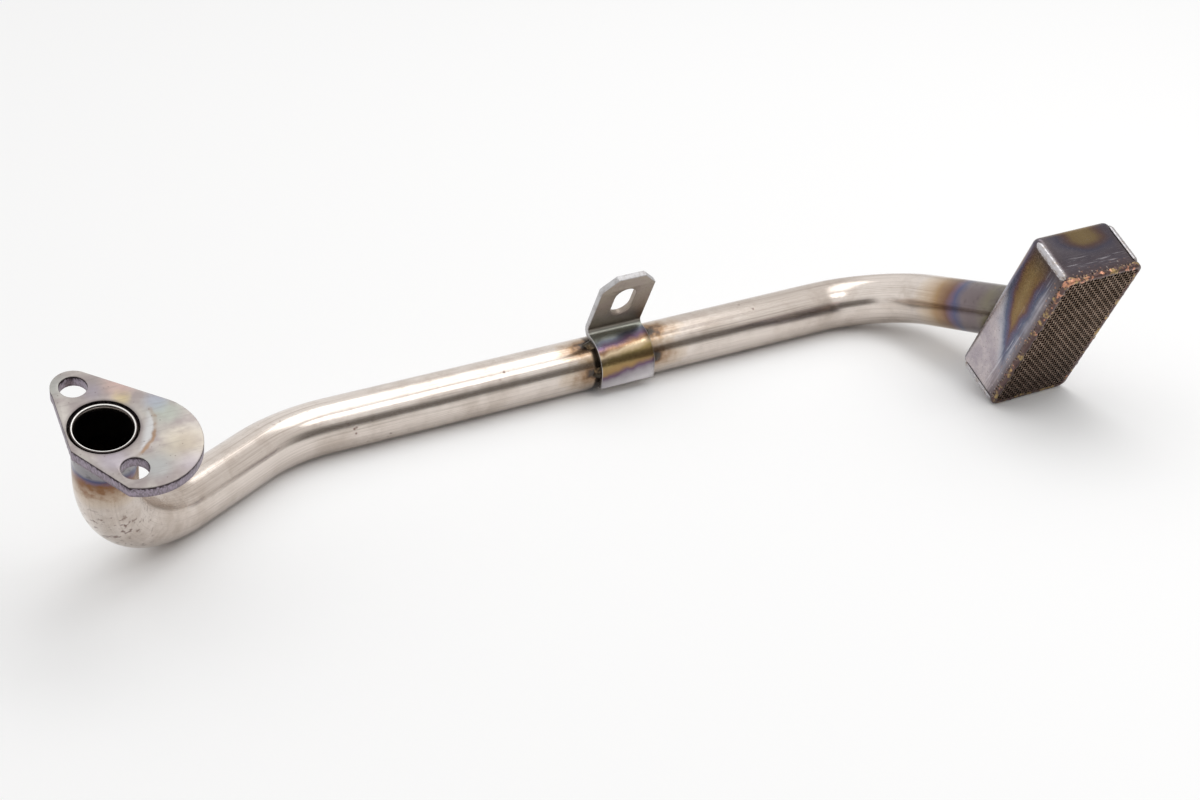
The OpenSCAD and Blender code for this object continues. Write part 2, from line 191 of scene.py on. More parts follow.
class PickupColours(bpy.types.PropertyGroup):
    """Colours of the finishes, as they look in white light."""
    steel: colour("Drawn steel", "Bare drawn steel of the tube", 220, 210, 202)
    steel_dull: colour("Dull steel", "Blotches on the drawn steel", 196, 184, 174)
    plate: colour("Plate", "Sanded steel of the pump flange", 189, 183, 177)
    plate_edge: colour("Plate edge", "Sawn edge of the pump flange", 130, 121, 128)
    strip: colour("Strip", "Scaled face of the strap's tab", 158, 148, 136)
    sheared: colour("Sheared edge", "Bright sheared edges of the strap", 188, 187, 188)
    sheet: colour("Sheet", "Grey lilac steel of the strainer box", 198, 188, 188)
    straw: colour("Straw", "Straw heat tint", 196, 166, 116)
    bronze: colour("Bronze", "Brown heat tint", 150, 116, 72)
    purple: colour("Purple", "Purple heat tint", 104, 84, 104)
    blue: colour("Blue", "Blue heat tint", 74, 80, 112)
    grey_blue: colour("Grey blue", "Grey blue heat tint next to a weld", 136, 134, 138)
    soot: colour("Soot", "Soot beside a weld", 38, 32, 27)
    bead: colour("Bead", "Dull weld metal", 92, 84, 72)
    seam: colour("Seam", "Bright weld metal of the box's corners", 186, 183, 186)
    wire: colour("Wire", "Oily woven wire", 148, 127, 112)
    braze: colour("Braze", "Copper coloured braze", 200, 146, 120)
    floor: colour("Floor", "Pale floor", 249, 249, 249)


class PickupStage(bpy.types.PropertyGroup):
    """Camera, lamps and floor."""
    eye: place("Eye", "Place of the camera", (-328.6083, -591.4801, 372.0))
    heading: angle("Heading", "Heading of the camera from +Y towards +X", 29.13)
    pitch: angle("Pitch", "How far the camera looks down", 26.93)
    lens: FloatProperty(name="Lens", description="Focal length on a 36 mm wide sensor", default=58.77, unit="CAMERA")
    floor_side: length("Floor side", "Side of the square floor", 8000.0)
    lamp_power: FloatProperty(name="Lamps", description="Power of the soft lamps for each square metre", default=6.0)
    floor_lift: FloatProperty(name="Floor lift", description="Light that whitens the floor to the eye", default=0.02)
    far_lift: FloatProperty(name="Far lift", description="The same light far from the pickup", default=0.15)
    far_from: length("Far from", "Where the far light starts", 700.0)
    far_to: length("Far to", "Where the far light is full", 2600.0)
    sky: FloatProperty(name="Sky", description="Strength of the light from all round", default=1.04, min=0.0)


def unit(v):
    """A vector made one long."""
    v = np.asarray(v, float)
    return v / np.linalg.norm(v)


def mm(value):
    """A property in metres as millimetres."""
    return np.array(value[:]) * 1000.0 if hasattr(value, "__len__") else value * 1000.0


def turned(degrees):
    """The direction at an angle in a plane."""
    return np.array([math.cos(math.radians(degrees)), math.sin(math.radians(degrees))])


def layout(scene):
    """Corners, axes and frames of the whole pickup, in millimetres."""
    tube, plate, box, strap = scene.pickup_tube, scene.pickup_plate, scene.pickup_box, scene.pickup_strap
    k = SimpleNamespace(mouth=mm(tube.mouth), elbow=mm(tube.elbow), kick=mm(tube.kick), inlet=mm(tube.inlet),
                        entry=mm(tube.entry))
    k.up = unit(k.mouth - k.elbow)
    k.inward = unit(k.entry - k.inlet)
    across = unit(np.cross([0.0, 1.0, 0.0], k.up))
    back = np.cross(k.up, across)
    k.plate_x = math.cos(plate.turn) * across + math.sin(plate.turn) * back
    k.plate_y = np.cross(k.up, k.plate_x)
    k.box_x = np.array([1.0, 0.0, 0.0])
    k.box_y = np.array([0.0, -math.sin(box.lean), math.cos(box.lean)])
    k.box_z = np.cross(k.box_x, k.box_y)
    k.strap_at = k.kick + np.array([mm(strap.middle), 0.0, 0.0])
    return k


def plate_marks(size):
    """Middles of the flange's lug and pad, and its sawn corner, in the plate's plane in millimetres."""
    lug, pad = np.array([0.0, mm(size.bolt_pcd) / 2]), np.array([mm(size.pad_x), -mm(size.pad_y)])
    return lug, pad, mm(size.corner_r) * turned(SAWN_CORNER)


def radial(a):
    """Out from the long tube's axis, at an angle in front of its top."""
    return np.array([0.0, -math.sin(a), math.cos(a)])


def downward(a):
    """Round the long tube towards its front, at the same angle."""
    return np.array([0.0, -math.cos(a), -math.sin(a)])


def strip_run(scene):
    """Radii of the strap's bends, and where along the flat strip each stretch ends, in millimetres."""
    size = scene.pickup_strap
    run = SimpleNamespace(inner=mm(scene.pickup_tube.outside) / 2 + CLEAR, thick=mm(size.thick), lip=mm(size.lip))
    run.wrap_r = run.inner + run.thick / 2
    run.fold_r = mm(size.fold_r) + run.thick / 2
    run.wrap_end = run.lip + run.wrap_r * size.wrap
    run.fold_end = run.wrap_end + run.fold_r * (size.tab_lean + math.pi / 2 - size.fold_at)
    run.top = run.fold_end + mm(size.tab_h)
    return run


def box_sides(size):
    """Half the box's width, and its lower and upper ends from the tube's hole, in millimetres."""
    return mm(size.wide) / 2, -mm(size.entry_h), mm(size.long) - mm(size.entry_h)


def in_box(k, x, y, z):
    """A place that is given in the box's own frame."""
    return k.entry + x * k.box_x + y * k.box_y + z * k.box_z


def way_in(k, point, depth):
    """How far along the entering tube a point has to move to reach a depth in the box."""
    return (depth - (point - k.entry) @ k.box_z) / (k.inward @ k.box_z)


def grid(rows, cols, close_rows=False):
    """Faces of rings of points that lie one after another, and of the gap from the last to the first if closed."""
    faces = []
    for i in range(rows if close_rows else rows - 1):
        for j in range(cols):
            a, b = (i + 1) % rows, (j + 1) % cols
            faces.append((i * cols + j, i * cols + b, a * cols + b, a * cols + j))
    return faces


def lids(rows, cols):
    """Faces that close the first and last ring of a grid."""
    last = (rows - 1) * cols
    return [tuple(range(cols))[::-1], tuple(range(last, last + cols))]


def shifted(faces, first):
    """Faces whose points start later in the list."""
    return [tuple(first + v for v in face) for face in faces]


def piece(name, points, faces, finish, nodes, sharp=None, drawn=None):
    """Adds one closed mesh, given in millimetres, that rides on the pickup and stands for CAD nodes."""
    mesh = bpy.data.meshes.new(name)
    mesh.from_pydata((np.asarray(points) * MM).tolist(), [], faces)
    if drawn is not None:
        mesh.attributes.new("drawn", "FLOAT_VECTOR", "POINT").data.foreach_set("vector", np.ravel(drawn))
    work = bmesh.new()
    work.from_mesh(mesh)
    bmesh.ops.recalc_face_normals(work, faces=work.faces)
    work.to_mesh(mesh)
    work.free()
    mesh.shade_smooth()
    if sharp:
        mesh.set_sharp_from_angle(angle=math.radians(sharp))
    mesh.materials.append(finish)
    obj = bpy.data.objects.new(name, mesh)
    bpy.context.scene.collection.objects.link(obj)
    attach(obj, BODY)
    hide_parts(*nodes)
    return obj


def axis_line(corners, radii, step):
    """Points along an axis with rounded corners, their distance along it, and the way each bend turns."""
    points, inward = [], []
    start = corners[0]
    for i, radius in enumerate(radii, 1):
        a, b = unit(corners[i] - corners[i - 1]), unit(corners[i + 1] - corners[i])
        half = 0.5 * math.acos(np.clip(a @ b, -1, 1))
        first = corners[i] - radius * math.tan(half) * a
        middle = first + radius * unit(b - (a @ b) * a)
        for t in np.linspace(0, 1, max(2, round(np.linalg.norm(first - start) / step)), endpoint=False):
            points.append(start + t * (first - start))
            inward.append(np.zeros(3))
        for t in np.linspace(0, 2 * half, max(6, round(4 * half * radius / step)), endpoint=False):
            point = middle + radius * (math.cos(t) * unit(first - middle) + math.sin(t) * a)
            points.append(point)
            inward.append(unit(middle - point) * math.sin(math.pi * t / (2 * half)) ** 0.5)
        start = corners[i] + radius * math.tan(half) * b
    for t in np.linspace(0, 1, max(2, round(np.linalg.norm(corners[-1] - start) / step))):
        points.append(start + t * (corners[-1] - start))
        inward.append(np.zeros(3))
    points = np.array(points)
    along = np.concatenate([[0], np.cumsum(np.linalg.norm(np.diff(points, axis=0), axis=1))])
    return points, along, np.array(inward)


def carried_frames(points, first):
    """Two directions across a line at each of its points, carried along it without twisting."""
    tangent = np.gradient(points, axis=0)
    tangent /= np.linalg.norm(tangent, axis=1)[:, None]
    u = unit(first - (first @ tangent[0]) * tangent[0])
    side, other = [], []
    for t in tangent:
        u = unit(u - (u @ t) * t)
        side.append(u)
        other.append(np.cross(t, u))
    return np.array(side), np.array(other), tangent


def flat_plate(loops, thick, edge):
    """A flat plate from its outline and holes, with eased edges, as a working mesh about its middle plane."""
    curve = bpy.data.curves.new("plate", "CURVE")
    curve.dimensions = "2D"
    curve.fill_mode = "BOTH"
    curve.extrude = thick / 2 - edge
    curve.bevel_depth = edge
    curve.bevel_resolution = 2
    curve.offset = -edge
    for loop in loops:
        spline = curve.splines.new("POLY")
        spline.points.add(len(loop) - 1)
        spline.points.foreach_set("co", np.ravel([(x, y, 0, 1) for x, y in loop]))
        spline.use_cyclic_u = True
    holder = bpy.data.objects.new("plate", curve)
    bpy.context.scene.collection.objects.link(holder)
    mesh = bpy.data.meshes.new_from_object(holder.evaluated_get(bpy.context.evaluated_depsgraph_get()))
    bpy.data.objects.remove(holder)
    bpy.data.curves.remove(curve)
    work = bmesh.new()
    work.from_mesh(mesh)
    bpy.data.meshes.remove(mesh)
    bmesh.ops.remove_doubles(work, verts=work.verts, dist=1e-4)
    return work


def ring_loop(middle, radius, count):
    """A hole's loop, which runs the other way round from an outline."""
    return [np.asarray(middle) + radius * turned(-360.0 * i / count) for i in range(count)]


def rounded_ring(half_x, low_y, high_y, radius, count):
    """Points round a rectangle with rounded corners, evenly spaced along it."""
    corners = [(half_x - radius, low_y + radius, -90), (half_x - radius, high_y - radius, 0),
               (radius - half_x, high_y - radius, 90), (radius - half_x, low_y + radius, 180)]
    dense = []
    for x, y, first in corners:
        dense += [np.array([x, y]) + radius * turned(a) for a in np.linspace(first, first + 90, 40)]
    dense = np.array(dense + [dense[0]])
    far = np.concatenate([[0], np.cumsum(np.linalg.norm(np.diff(dense, axis=0), axis=1))])
    at = np.linspace(0, far[-1], count, endpoint=False)
    return np.stack([np.interp(at, far, dense[:, 0]), np.interp(at, far, dense[:, 1])], axis=1)


def fillet(count, wide, tall, rise):
    """A bead's section as steps out and up from its inner corner, which comes last."""
    turns = [0.5 * math.pi * j / (count - 2) for j in range(count - 1)]
    return [(wide * math.cos(t) ** 0.8, tall * math.sin(t) ** rise) for t in turns] + [(0.0, 0.0)]


def ripple(phase, *where):
    """A weld's ripple from 0 to 1, whose even waves are upset by noise."""
    return 0.5 + 0.5 * math.sin(phase + 2.0 * noise.noise(Vector(where)))


def lumps(x, y, size, layer):
    """Noise from -1 to 1 in a plane, with lumps of about that size."""
    return noise.noise(Vector((x / size, y / size, layer)))


def held(share, least):
    """A share, held between a least one and the whole."""
    return min(1.0, max(least, share))


def taken(work):
    """Points and faces of a working mesh, which is then freed."""
    work.verts.index_update()
    points = np.array([v.co[:] for v in work.verts])
    faces = [tuple(v.index for v in f.verts) for f in work.faces]
    work.free()
    return points, faces


class Nodes:
    """A node tree, whose helpers take numbers, colours or other nodes' outputs."""

    def __init__(self, tree):
        self.tree = tree
        tree.nodes.clear()

    def new(self, kind):
        """Adds a shader node of one kind."""
        return self.tree.nodes.new("ShaderNode" + kind)

    def put(self, socket, value):
        """Links an output to a socket, or sets the socket to a plain value."""
        if isinstance(value, bpy.types.NodeSocket):
            self.tree.links.new(value, socket)
        elif socket.type == "RGBA" and len(value) == 3:
            socket.default_value = (*value, 1.0)
        else:
            socket.default_value = value

    def place(self):
        """Place on the object in millimetres, in the frame that all pieces share."""
        where = self.new("TexCoord").outputs["Object"]
        return self.vector("SCALE", where, scale=1000.0)

    def drawn(self):
        """Place on the piece as it was before it was bent, in millimetres."""
        node = self.new("Attribute")
        node.attribute_name = "drawn"
        return node.outputs["Vector"]

    def vector(self, kind, a, b=None, scale=None):
        """One step of vector arithmetic."""
        node = self.new("VectorMath")
        node.operation = kind
        self.put(node.inputs[0], a)
        if b is not None:
            self.put(node.inputs[1], b)
        if scale is not None:
            self.put(node.inputs["Scale"], scale)
        return node.outputs["Value" if kind in ("DOT_PRODUCT", "LENGTH", "DISTANCE") else "Vector"]

    def parts(self, vector):
        """The three numbers of a vector."""
        node = self.new("SeparateXYZ")
        self.put(node.inputs[0], vector)
        return node.outputs[0], node.outputs[1], node.outputs[2]

    def math(self, kind, a, b=0.0):
        """One step of arithmetic."""
        node = self.new("Math")
        node.operation = kind
        self.put(node.inputs[0], a)
        self.put(node.inputs[1], b)
        return node.outputs[0]

    def add(self, a, b):
        """A sum."""
        return self.math("ADD", a, b)

    def less(self, a, b):
        """A difference."""
        return self.math("SUBTRACT", a, b)

    def times(self, *values):
        """A product."""
        total = values[0]
        for value in values[1:]:
            total = self.math("MULTIPLY", total, value)
        return total

    def along(self, point, start, direction):
        """How far a point lies from a start in one direction."""
        return self.vector("DOT_PRODUCT", self.vector("SUBTRACT", point, tuple(start)), tuple(direction))

    def from_axis(self, point, start, direction):
        """How far a point lies from an axis."""
        foot = self.vector("SCALE", tuple(direction), scale=self.along(point, start, direction))
        return self.vector("LENGTH", self.vector("SUBTRACT", point, self.vector("ADD", tuple(start), foot)))

    def step(self, value, low, high, first=0.0, last=1.0):
        """A soft step from the first to the last number as the value passes from low to high."""
        node = self.new("MapRange")
        node.interpolation_type = "SMOOTHSTEP"
        for socket, number in zip(node.inputs[:5], (value, low, high, first, last)):
            self.put(socket, number)
        return node.outputs[0]

    def band(self, value, low, high, soft):
        """One between two limits and nothing outside them."""
        rise = self.step(value, low - soft, low + soft)
        return self.times(rise, self.step(value, high - soft, high + soft, 1.0, 0.0))

    def mix(self, share, a, b, blend="MIX"):
        """A colour between two others."""
        node = self.new("Mix")
        node.data_type = "RGBA"
        node.blend_type = blend
        self.put(node.inputs["Factor"], share)
        self.put(node.inputs[6], a)
        self.put(node.inputs[7], b)
        return node.outputs[2]

    def grain(self, where, size, detail=3.0, rough=0.55, stretch=None):
        """Noise from 0 to 1 with features of about that size in millimetres."""
        if stretch:
            where = self.vector("MULTIPLY", where, stretch)
        node = self.new("TexNoise")
        self.put(node.inputs["Vector"], where)
        self.put(node.inputs["Scale"], 1.0 / size)
        self.put(node.inputs["Detail"], detail)
        self.put(node.inputs["Roughness"], rough)
        return node.outputs["Fac"]

    def swing(self, where, size, reach, detail=3.0):
        """Noise about nothing, whose lowest and highest values lie that far apart."""
        return self.times(reach, self.add(self.grain(where, size, detail), -0.5))

    def cells(self, where, size):
        """Distance from the nearest of scattered spots, in parts of that size."""
        node = self.new("TexVoronoi")
        self.put(node.inputs["Vector"], where)
        self.put(node.inputs["Scale"], 1.0 / size)
        return node.outputs["Distance"]

    def seen(self):
        """One for rays that the eye, a gloss or a clear piece sends out, nothing for the rest."""
        ray = self.new("LightPath").outputs
        seen = self.math("MAXIMUM", ray["Is Camera Ray"], ray["Is Glossy Ray"])
        return self.math("MAXIMUM", seen, ray["Is Transmission Ray"])

    def tint(self, base, distance, low, high, stops, mask=1.0):
        """Lays heat tints over a colour: stops are (distance, colour, strength)."""
        share = self.new("MapRange")
        for socket, number in zip(share.inputs[:5], (distance, low, high, 0.0, 1.0)):
            self.put(socket, number)
        ramp = self.new("ValToRGB")
        self.put(ramp.inputs[0], share.outputs[0])
        marks = ramp.color_ramp.elements
        while len(marks) < len(stops):
            marks.new(0.5)
        for mark, (at, tone, strength) in zip(marks, stops):
            mark.position = (at - low) / (high - low)
            mark.color = (*tone, strength)
        return self.mix(self.times(ramp.outputs["Alpha"], mask), base, ramp.outputs["Color"])


class Finish(Nodes):
    """A material with one surface, which is metal unless it says otherwise."""

    def __init__(self, name, metallic=1.0):
        self.material = bpy.data.materials.new(name)
        self.material.use_nodes = True
        super().__init__(self.material.node_tree)
        self.surface = self.new("BsdfPrincipled")
        self.put(self.new("OutputMaterial").inputs["Surface"], self.surface.outputs["BSDF"])
        self.put(self.surface.inputs["Metallic"], metallic)

    def done(self, tone, rough, height=None, depth=0.05):
        """Connects colour, roughness and fine relief, whose depth is in millimetres."""
        self.put(self.surface.inputs["Base Color"], tone)
        self.put(self.surface.inputs["Roughness"], rough)
        if height is not None:
            node = self.new("Bump")
            self.put(node.inputs["Distance"], depth * MM)
            self.put(node.inputs["Strength"], 1.0)
            self.put(node.inputs["Height"], height)
            self.put(self.surface.inputs["Normal"], node.outputs["Normal"])
        return self.material


def tones(scene):
    """The finish colours as plain tuples."""
    return SimpleNamespace(**{n: tuple(getattr(scene.pickup_colours, n)) for n in PickupColours.__annotations__})


def tube_finish(scene, k):
    """Bare drawn steel with blotches, draw lines, pits, and heat tints beside the welds."""
    c, m = tones(scene), Finish("drawn_tube_steel")
    strap = scene.pickup_strap
    spot, line = m.place(), m.drawn()
    x, y, _ = m.parts(spot)
    blotch, mottle = m.grain(spot, 22.0, 4.0, 0.6), m.grain(spot, 4.0, 4.0, 0.6)
    lines = m.grain(line, 1.0, 5.0, 0.65, (0.012, 1.3, 1.3))
    hairs = m.grain(line, 1.0, 3.0, 0.6, (0.03, 4.5, 4.5))
    tone = m.mix(m.step(m.add(blotch, m.times(0.35, mottle)), 0.55, 0.95), c.steel, c.steel_dull)
    drawn = m.times(m.step(lines, 0.5, 0.7, 0.0, 0.4), m.step(x, -190.0, -120.0, 0.3, 1.0))
    tone = m.mix(drawn, tone, SHADE.draw_line)
    tone = m.mix(m.step(hairs, 0.5, 0.72, 0.0, 0.35), tone, SHADE.hair_line)
    warp = m.swing(spot, 8.0, 5.0)
    ragged = m.swing(spot, 3.6, 6.0)

    # heat, soot and rust under the flange
    flange_end = m.step(x, -110.0, -100.0, 1.0, 0.0)
    below = m.less(warp, m.along(spot, k.mouth, k.up))
    tone = m.tint(tone, below, 0.0, 40.0, [
        (4.0, c.soot, 0.6), (8.0, c.grey_blue, 0.9), (13.8, c.grey_blue, 0.95), (15.8, c.blue, 1.0),
        (17.2, c.purple, 0.95), (18.8, SHADE.dark_bronze, 0.92), (23.5, c.bronze, 0.55),
        (31.0, c.straw, 0.0)], flange_end)
    soot = m.times(m.step(below, 13.0, 16.0, 1.0, 0.0), m.step(ragged, 0.3, 1.3, 0.0, 0.6))
    tone = m.mix(m.times(flange_end, soot), tone, c.soot)
    rust = m.times(m.band(below, 16.5, 25.0, 2.5), m.step(m.grain(spot, 5.0, 4.0, 0.6), 0.42, 0.62, 0.0, 0.75))
    tone = m.mix(m.times(flange_end, rust), tone, SHADE.rust)
    # darker mottled patches over the elbow, away from the flange
    elbow_darkening = m.times(m.step(x, -165.0, -140.0, 1.0, 0.0), m.step(m.grain(spot, 6.0, 4.0, 0.65), 0.35, 0.65, 0.05, 0.35))
    tone = m.mix(m.times(elbow_darkening, m.step(below, 24.0, 34.0)), tone, SHADE.dull_elbow)

    # heat and soot before the strainer, and soot and painted shade on the tube next to the box's back
    before = m.less(warp, m.along(spot, k.entry, k.inward))
    box_end = m.step(x, 100.0, 110.0)
    tone = m.tint(tone, before, 0.0, 56.0, [
        (2.0, c.soot, 0.8), (8.0, SHADE.olive_scale, 0.9), (14.0, SHADE.weld_grey, 0.9),
        (23.0, SHADE.weld_lilac, 0.9), (27.0, c.blue, 0.95), (29.5, c.purple, 0.95),
        (32.5, SHADE.burnt_brown, 0.9), (39.0, c.bronze, 0.85), (54.0, c.straw, 0.0)], box_end)
    # soot and painted shade: a dark olive band on the tube within a few millimetres of the box's back
    behind = m.less(m.times(0.5, ragged), m.along(spot, k.entry, k.box_z))
    tone = m.mix(m.times(box_end, m.step(behind, 3.0, 7.0, 0.9, 0.0)), tone, SHADE.olive_soot)
    soot = m.times(m.step(before, 20.0, 26.0, 1.0, 0.0), m.step(ragged, 0.2, 1.2, 0.0, 0.5))
    tone = m.mix(m.times(box_end, soot), tone, SHADE.grey_soot)

    # burnt spots at the strap's tacks, and a dark line along its left edge, soot and painted shade in the gap beside
    # the strap
    half, outer = mm(strap.width) / 2, mm(scene.pickup_tube.outside) / 2
    fold_at, lip_at = strap.fold_at, strap.fold_at + strap.wrap
    for side, turn, black in ((-1, fold_at + strap.tack_sweep / 2, 2.2), (1, fold_at + 0.15, 2.0),
                              (-1, lip_at - 0.2, 1.8), (1, lip_at - 0.3, 1.5)):
        tack = k.strap_at + np.array([side * half, 0.0, 0.0]) + outer * radial(turn)
        away = m.vector("LENGTH", m.vector("MULTIPLY", m.vector("SUBTRACT", spot, tuple(tack)), (0.42, 1.0, 1.0)))
        tone = m.tint(tone, m.add(away, m.times(0.8, ragged)), 0.0, 10.0, [
            (0.5, c.soot, 0.95), (black, c.soot, 0.9), (black + 0.7, SHADE.tack_brown, 0.9),
            (black + 1.5, SHADE.tack_bronze, 0.8), (black + 3.2, c.bronze, 0.5), (8.5, c.straw, 0.0)])
    # soot and painted shade: a dark line on the tube's front along the strap's left edge
    edge = m.add(m.add(x, half - float(k.strap_at[0])), m.times(0.25, warp))
    front = m.step(y, float(k.strap_at[1]) - 2.0, float(k.strap_at[1]) + 7.0, 1.0, 0.0)
    tone = m.mix(m.times(m.band(edge, -1.9, 2.0, 0.7), front, 0.92), tone, c.soot)

    # pits in clusters, most of them on the elbow, and fine specks
    cluster = m.step(m.grain(spot, 30.0, 2.0), 0.54, 0.70)
    pits = m.times(m.step(m.cells(spot, 3.1), 0.10, 0.24, 1.0, 0.0), m.step(mottle, 0.40, 0.54), cluster)
    pocked = m.vector("DISTANCE", spot, tuple(k.elbow + np.array([-6.0, -13.0, 8.0])))
    marks = m.times(m.step(m.grain(spot, 2.3, 4.0, 0.65), 0.575, 0.635), m.step(pocked, 13.0, 30.0, 1.0, 0.0))
    pits = m.math("MAXIMUM", pits, marks)
    specks = m.times(m.step(m.cells(spot, 1.0), 0.08, 0.24, 1.0, 0.0), m.step(mottle, 0.52, 0.66))
    tone = m.mix(m.times(0.8, pits), tone, SHADE.pit_rust)
    tone = m.mix(m.times(0.35, specks), tone, SHADE.speck)

    # gloss, relief, and the mouth's end: soot and painted shade in the recess, and a rim of bare cut steel brightened
    # as a painted highlight
    rough = m.add(m.add(m.times(0.12, blotch), m.times(0.14, lines)), m.add(0.04, m.times(0.08, hairs)))
    relief = m.add(m.times(0.5, lines), m.times(0.25, hairs))
    relief = m.add(relief, m.times(m.step(x, -150.0, -100.0, 1.2, 0.3), mottle))
    height = m.less(relief, m.add(pits, m.times(0.5, specks)))
    recess = mm(scene.pickup_tube.recess)
    rim = m.times(flange_end, m.step(m.along(spot, k.mouth, k.up), -recess - 0.7, -recess - 0.35))
    # soot and painted shade darken the tube's end in the recess
    tone = m.mix(rim, tone, SHADE.mouth_dark)
    rim = m.times(rim, m.band(m.from_axis(spot, k.mouth, k.up), outer - 1.0, outer - 0.6, 0.08))
    # painted highlight: a bright band on the rim of cut steel
    tone = m.mix(rim, tone, SHADE.mouth_bright)
    rough = m.add(rough, m.times(0.25, rim))
    return m.done(tone, rough, height, 0.035)


# Pale heat patches on the pump flange's face: place across and along it, size, colour on a screen, strength.
RAINBOW = (
    ((13.0, 14.0), 7.0, (206, 172, 162), 0.8), ((11.5, 8.0), 3.6, (214, 196, 140), 0.75),
    ((21.5, -4.0), 6.0, (172, 184, 172), 0.75), ((20.5, 2.0), 5.0, (158, 170, 190), 0.75),
    ((4.0, 16.0), 5.0, (166, 158, 176), 0.6), ((-4.5, 24.0), 6.0, (178, 184, 178), 0.7),
    ((-4.0, -14.0), 6.0, (176, 166, 184), 0.7), ((19.0, -19.0), 8.0, (204, 192, 168), 0.7),
    ((17.0, -28.0), 6.0, (186, 178, 186), 0.7), ((6.0, -24.0), 6.0, (176, 182, 184), 0.7),
)


def plate_finish(scene, k):
    """Sanded steel with pale rainbow patches on the mating face and a purple grey sawn edge."""
    c, m = tones(scene), Finish("pump_plate_steel")
    spot = m.place()
    x, y = m.along(spot, k.mouth, k.plate_x), m.along(spot, k.mouth, k.plate_y)
    depth = m.times(-1.0, m.along(spot, k.mouth, k.up))
    patch, fine = m.grain(spot, 9.0, 3.0), m.grain(spot, 1.6, 4.0, 0.6)
    tone = m.mix(m.step(patch, 0.35, 0.65), c.plate, SHADE.plate_patch)
    for (across, along), size, hue, share in RAINBOW:
        away = m.vector("DISTANCE", spot, tuple(k.mouth + across * k.plate_x + along * k.plate_y))
        away = m.add(away, m.times(7.0, m.add(patch, -0.5)))
        tone = m.mix(m.step(away, size * 0.2, size * 1.3, 0.7 * share, 0.0), tone, screen_colour(*hue))

    # rings round the tube's hole, on the side away from the lug, and painted shade all round the hole's edge
    hole_r = m.from_axis(spot, k.mouth, k.up)
    ring = m.add(hole_r, m.swing(spot, 5.0, 2.4))
    right = m.step(m.add(m.times(0.79, x), m.times(-0.61, y)), 12.0, 14.5)
    tone = m.mix(m.times(right, m.step(ring, 15.2, 16.4, 0.8, 0.0)), tone, SHADE.pale_ring)
    brown = m.times(right, m.band(ring, 16.0, 17.2, 0.5), m.step(patch, 0.36, 0.56, 0.2, 0.9))
    tone = m.mix(brown, tone, SHADE.brown_ring)
    # painted shade: the face darkened just round the hole, where the recess is dark
    tone = m.mix(m.step(hole_r, 11.9, 13.0, 0.5, 0.0), tone, SHADE.hole_shade)
    scuff = m.grain(spot, 1.2, 5.0, 0.6, (0.15, 1.2, 1.0))
    tone = m.mix(m.step(scuff, 0.5, 0.7, 0.0, 0.25), tone, SHADE.scuff)
    tone = m.mix(m.step(m.cells(spot, 2.6), 0.05, 0.14, 0.5, 0.0), tone, SHADE.plate_pit)

    # sawn edge, with a dark burr and saw marks along its upper rim
    edge = m.step(depth, 0.12, 0.35)
    rows = m.grain(spot, 0.8, 3.0, 0.6, (1.6, 1.6, 0.25))
    side = m.mix(m.step(rows, 0.38, 0.62), c.plate_edge, SHADE.edge_lilac)
    ragged = m.add(depth, m.swing(spot, 1.3, 2.2, 2.0))
    side = m.mix(m.band(ragged, 0.0, 1.0, 0.25), side, SHADE.edge_burr)
    side = m.mix(m.step(depth, 3.2, 4.9, 0.0, 0.5), side, SHADE.edge_low)
    ticks = m.step(m.grain(spot, 1.0, 2.0, 0.5, (1.3, 1.3, 0.2)), 0.5, 0.58)
    side = m.mix(m.times(ticks, m.step(depth, 0.6, 2.6, 0.85, 0.0)), side, SHADE.saw_tick)
    tone = m.mix(edge, tone, side)
    rough = m.add(m.times(0.2, fine), m.add(0.3, m.times(0.06, edge)))
    return m.done(tone, rough, m.add(m.times(0.5, scuff), m.times(edge, rows)), 0.03)


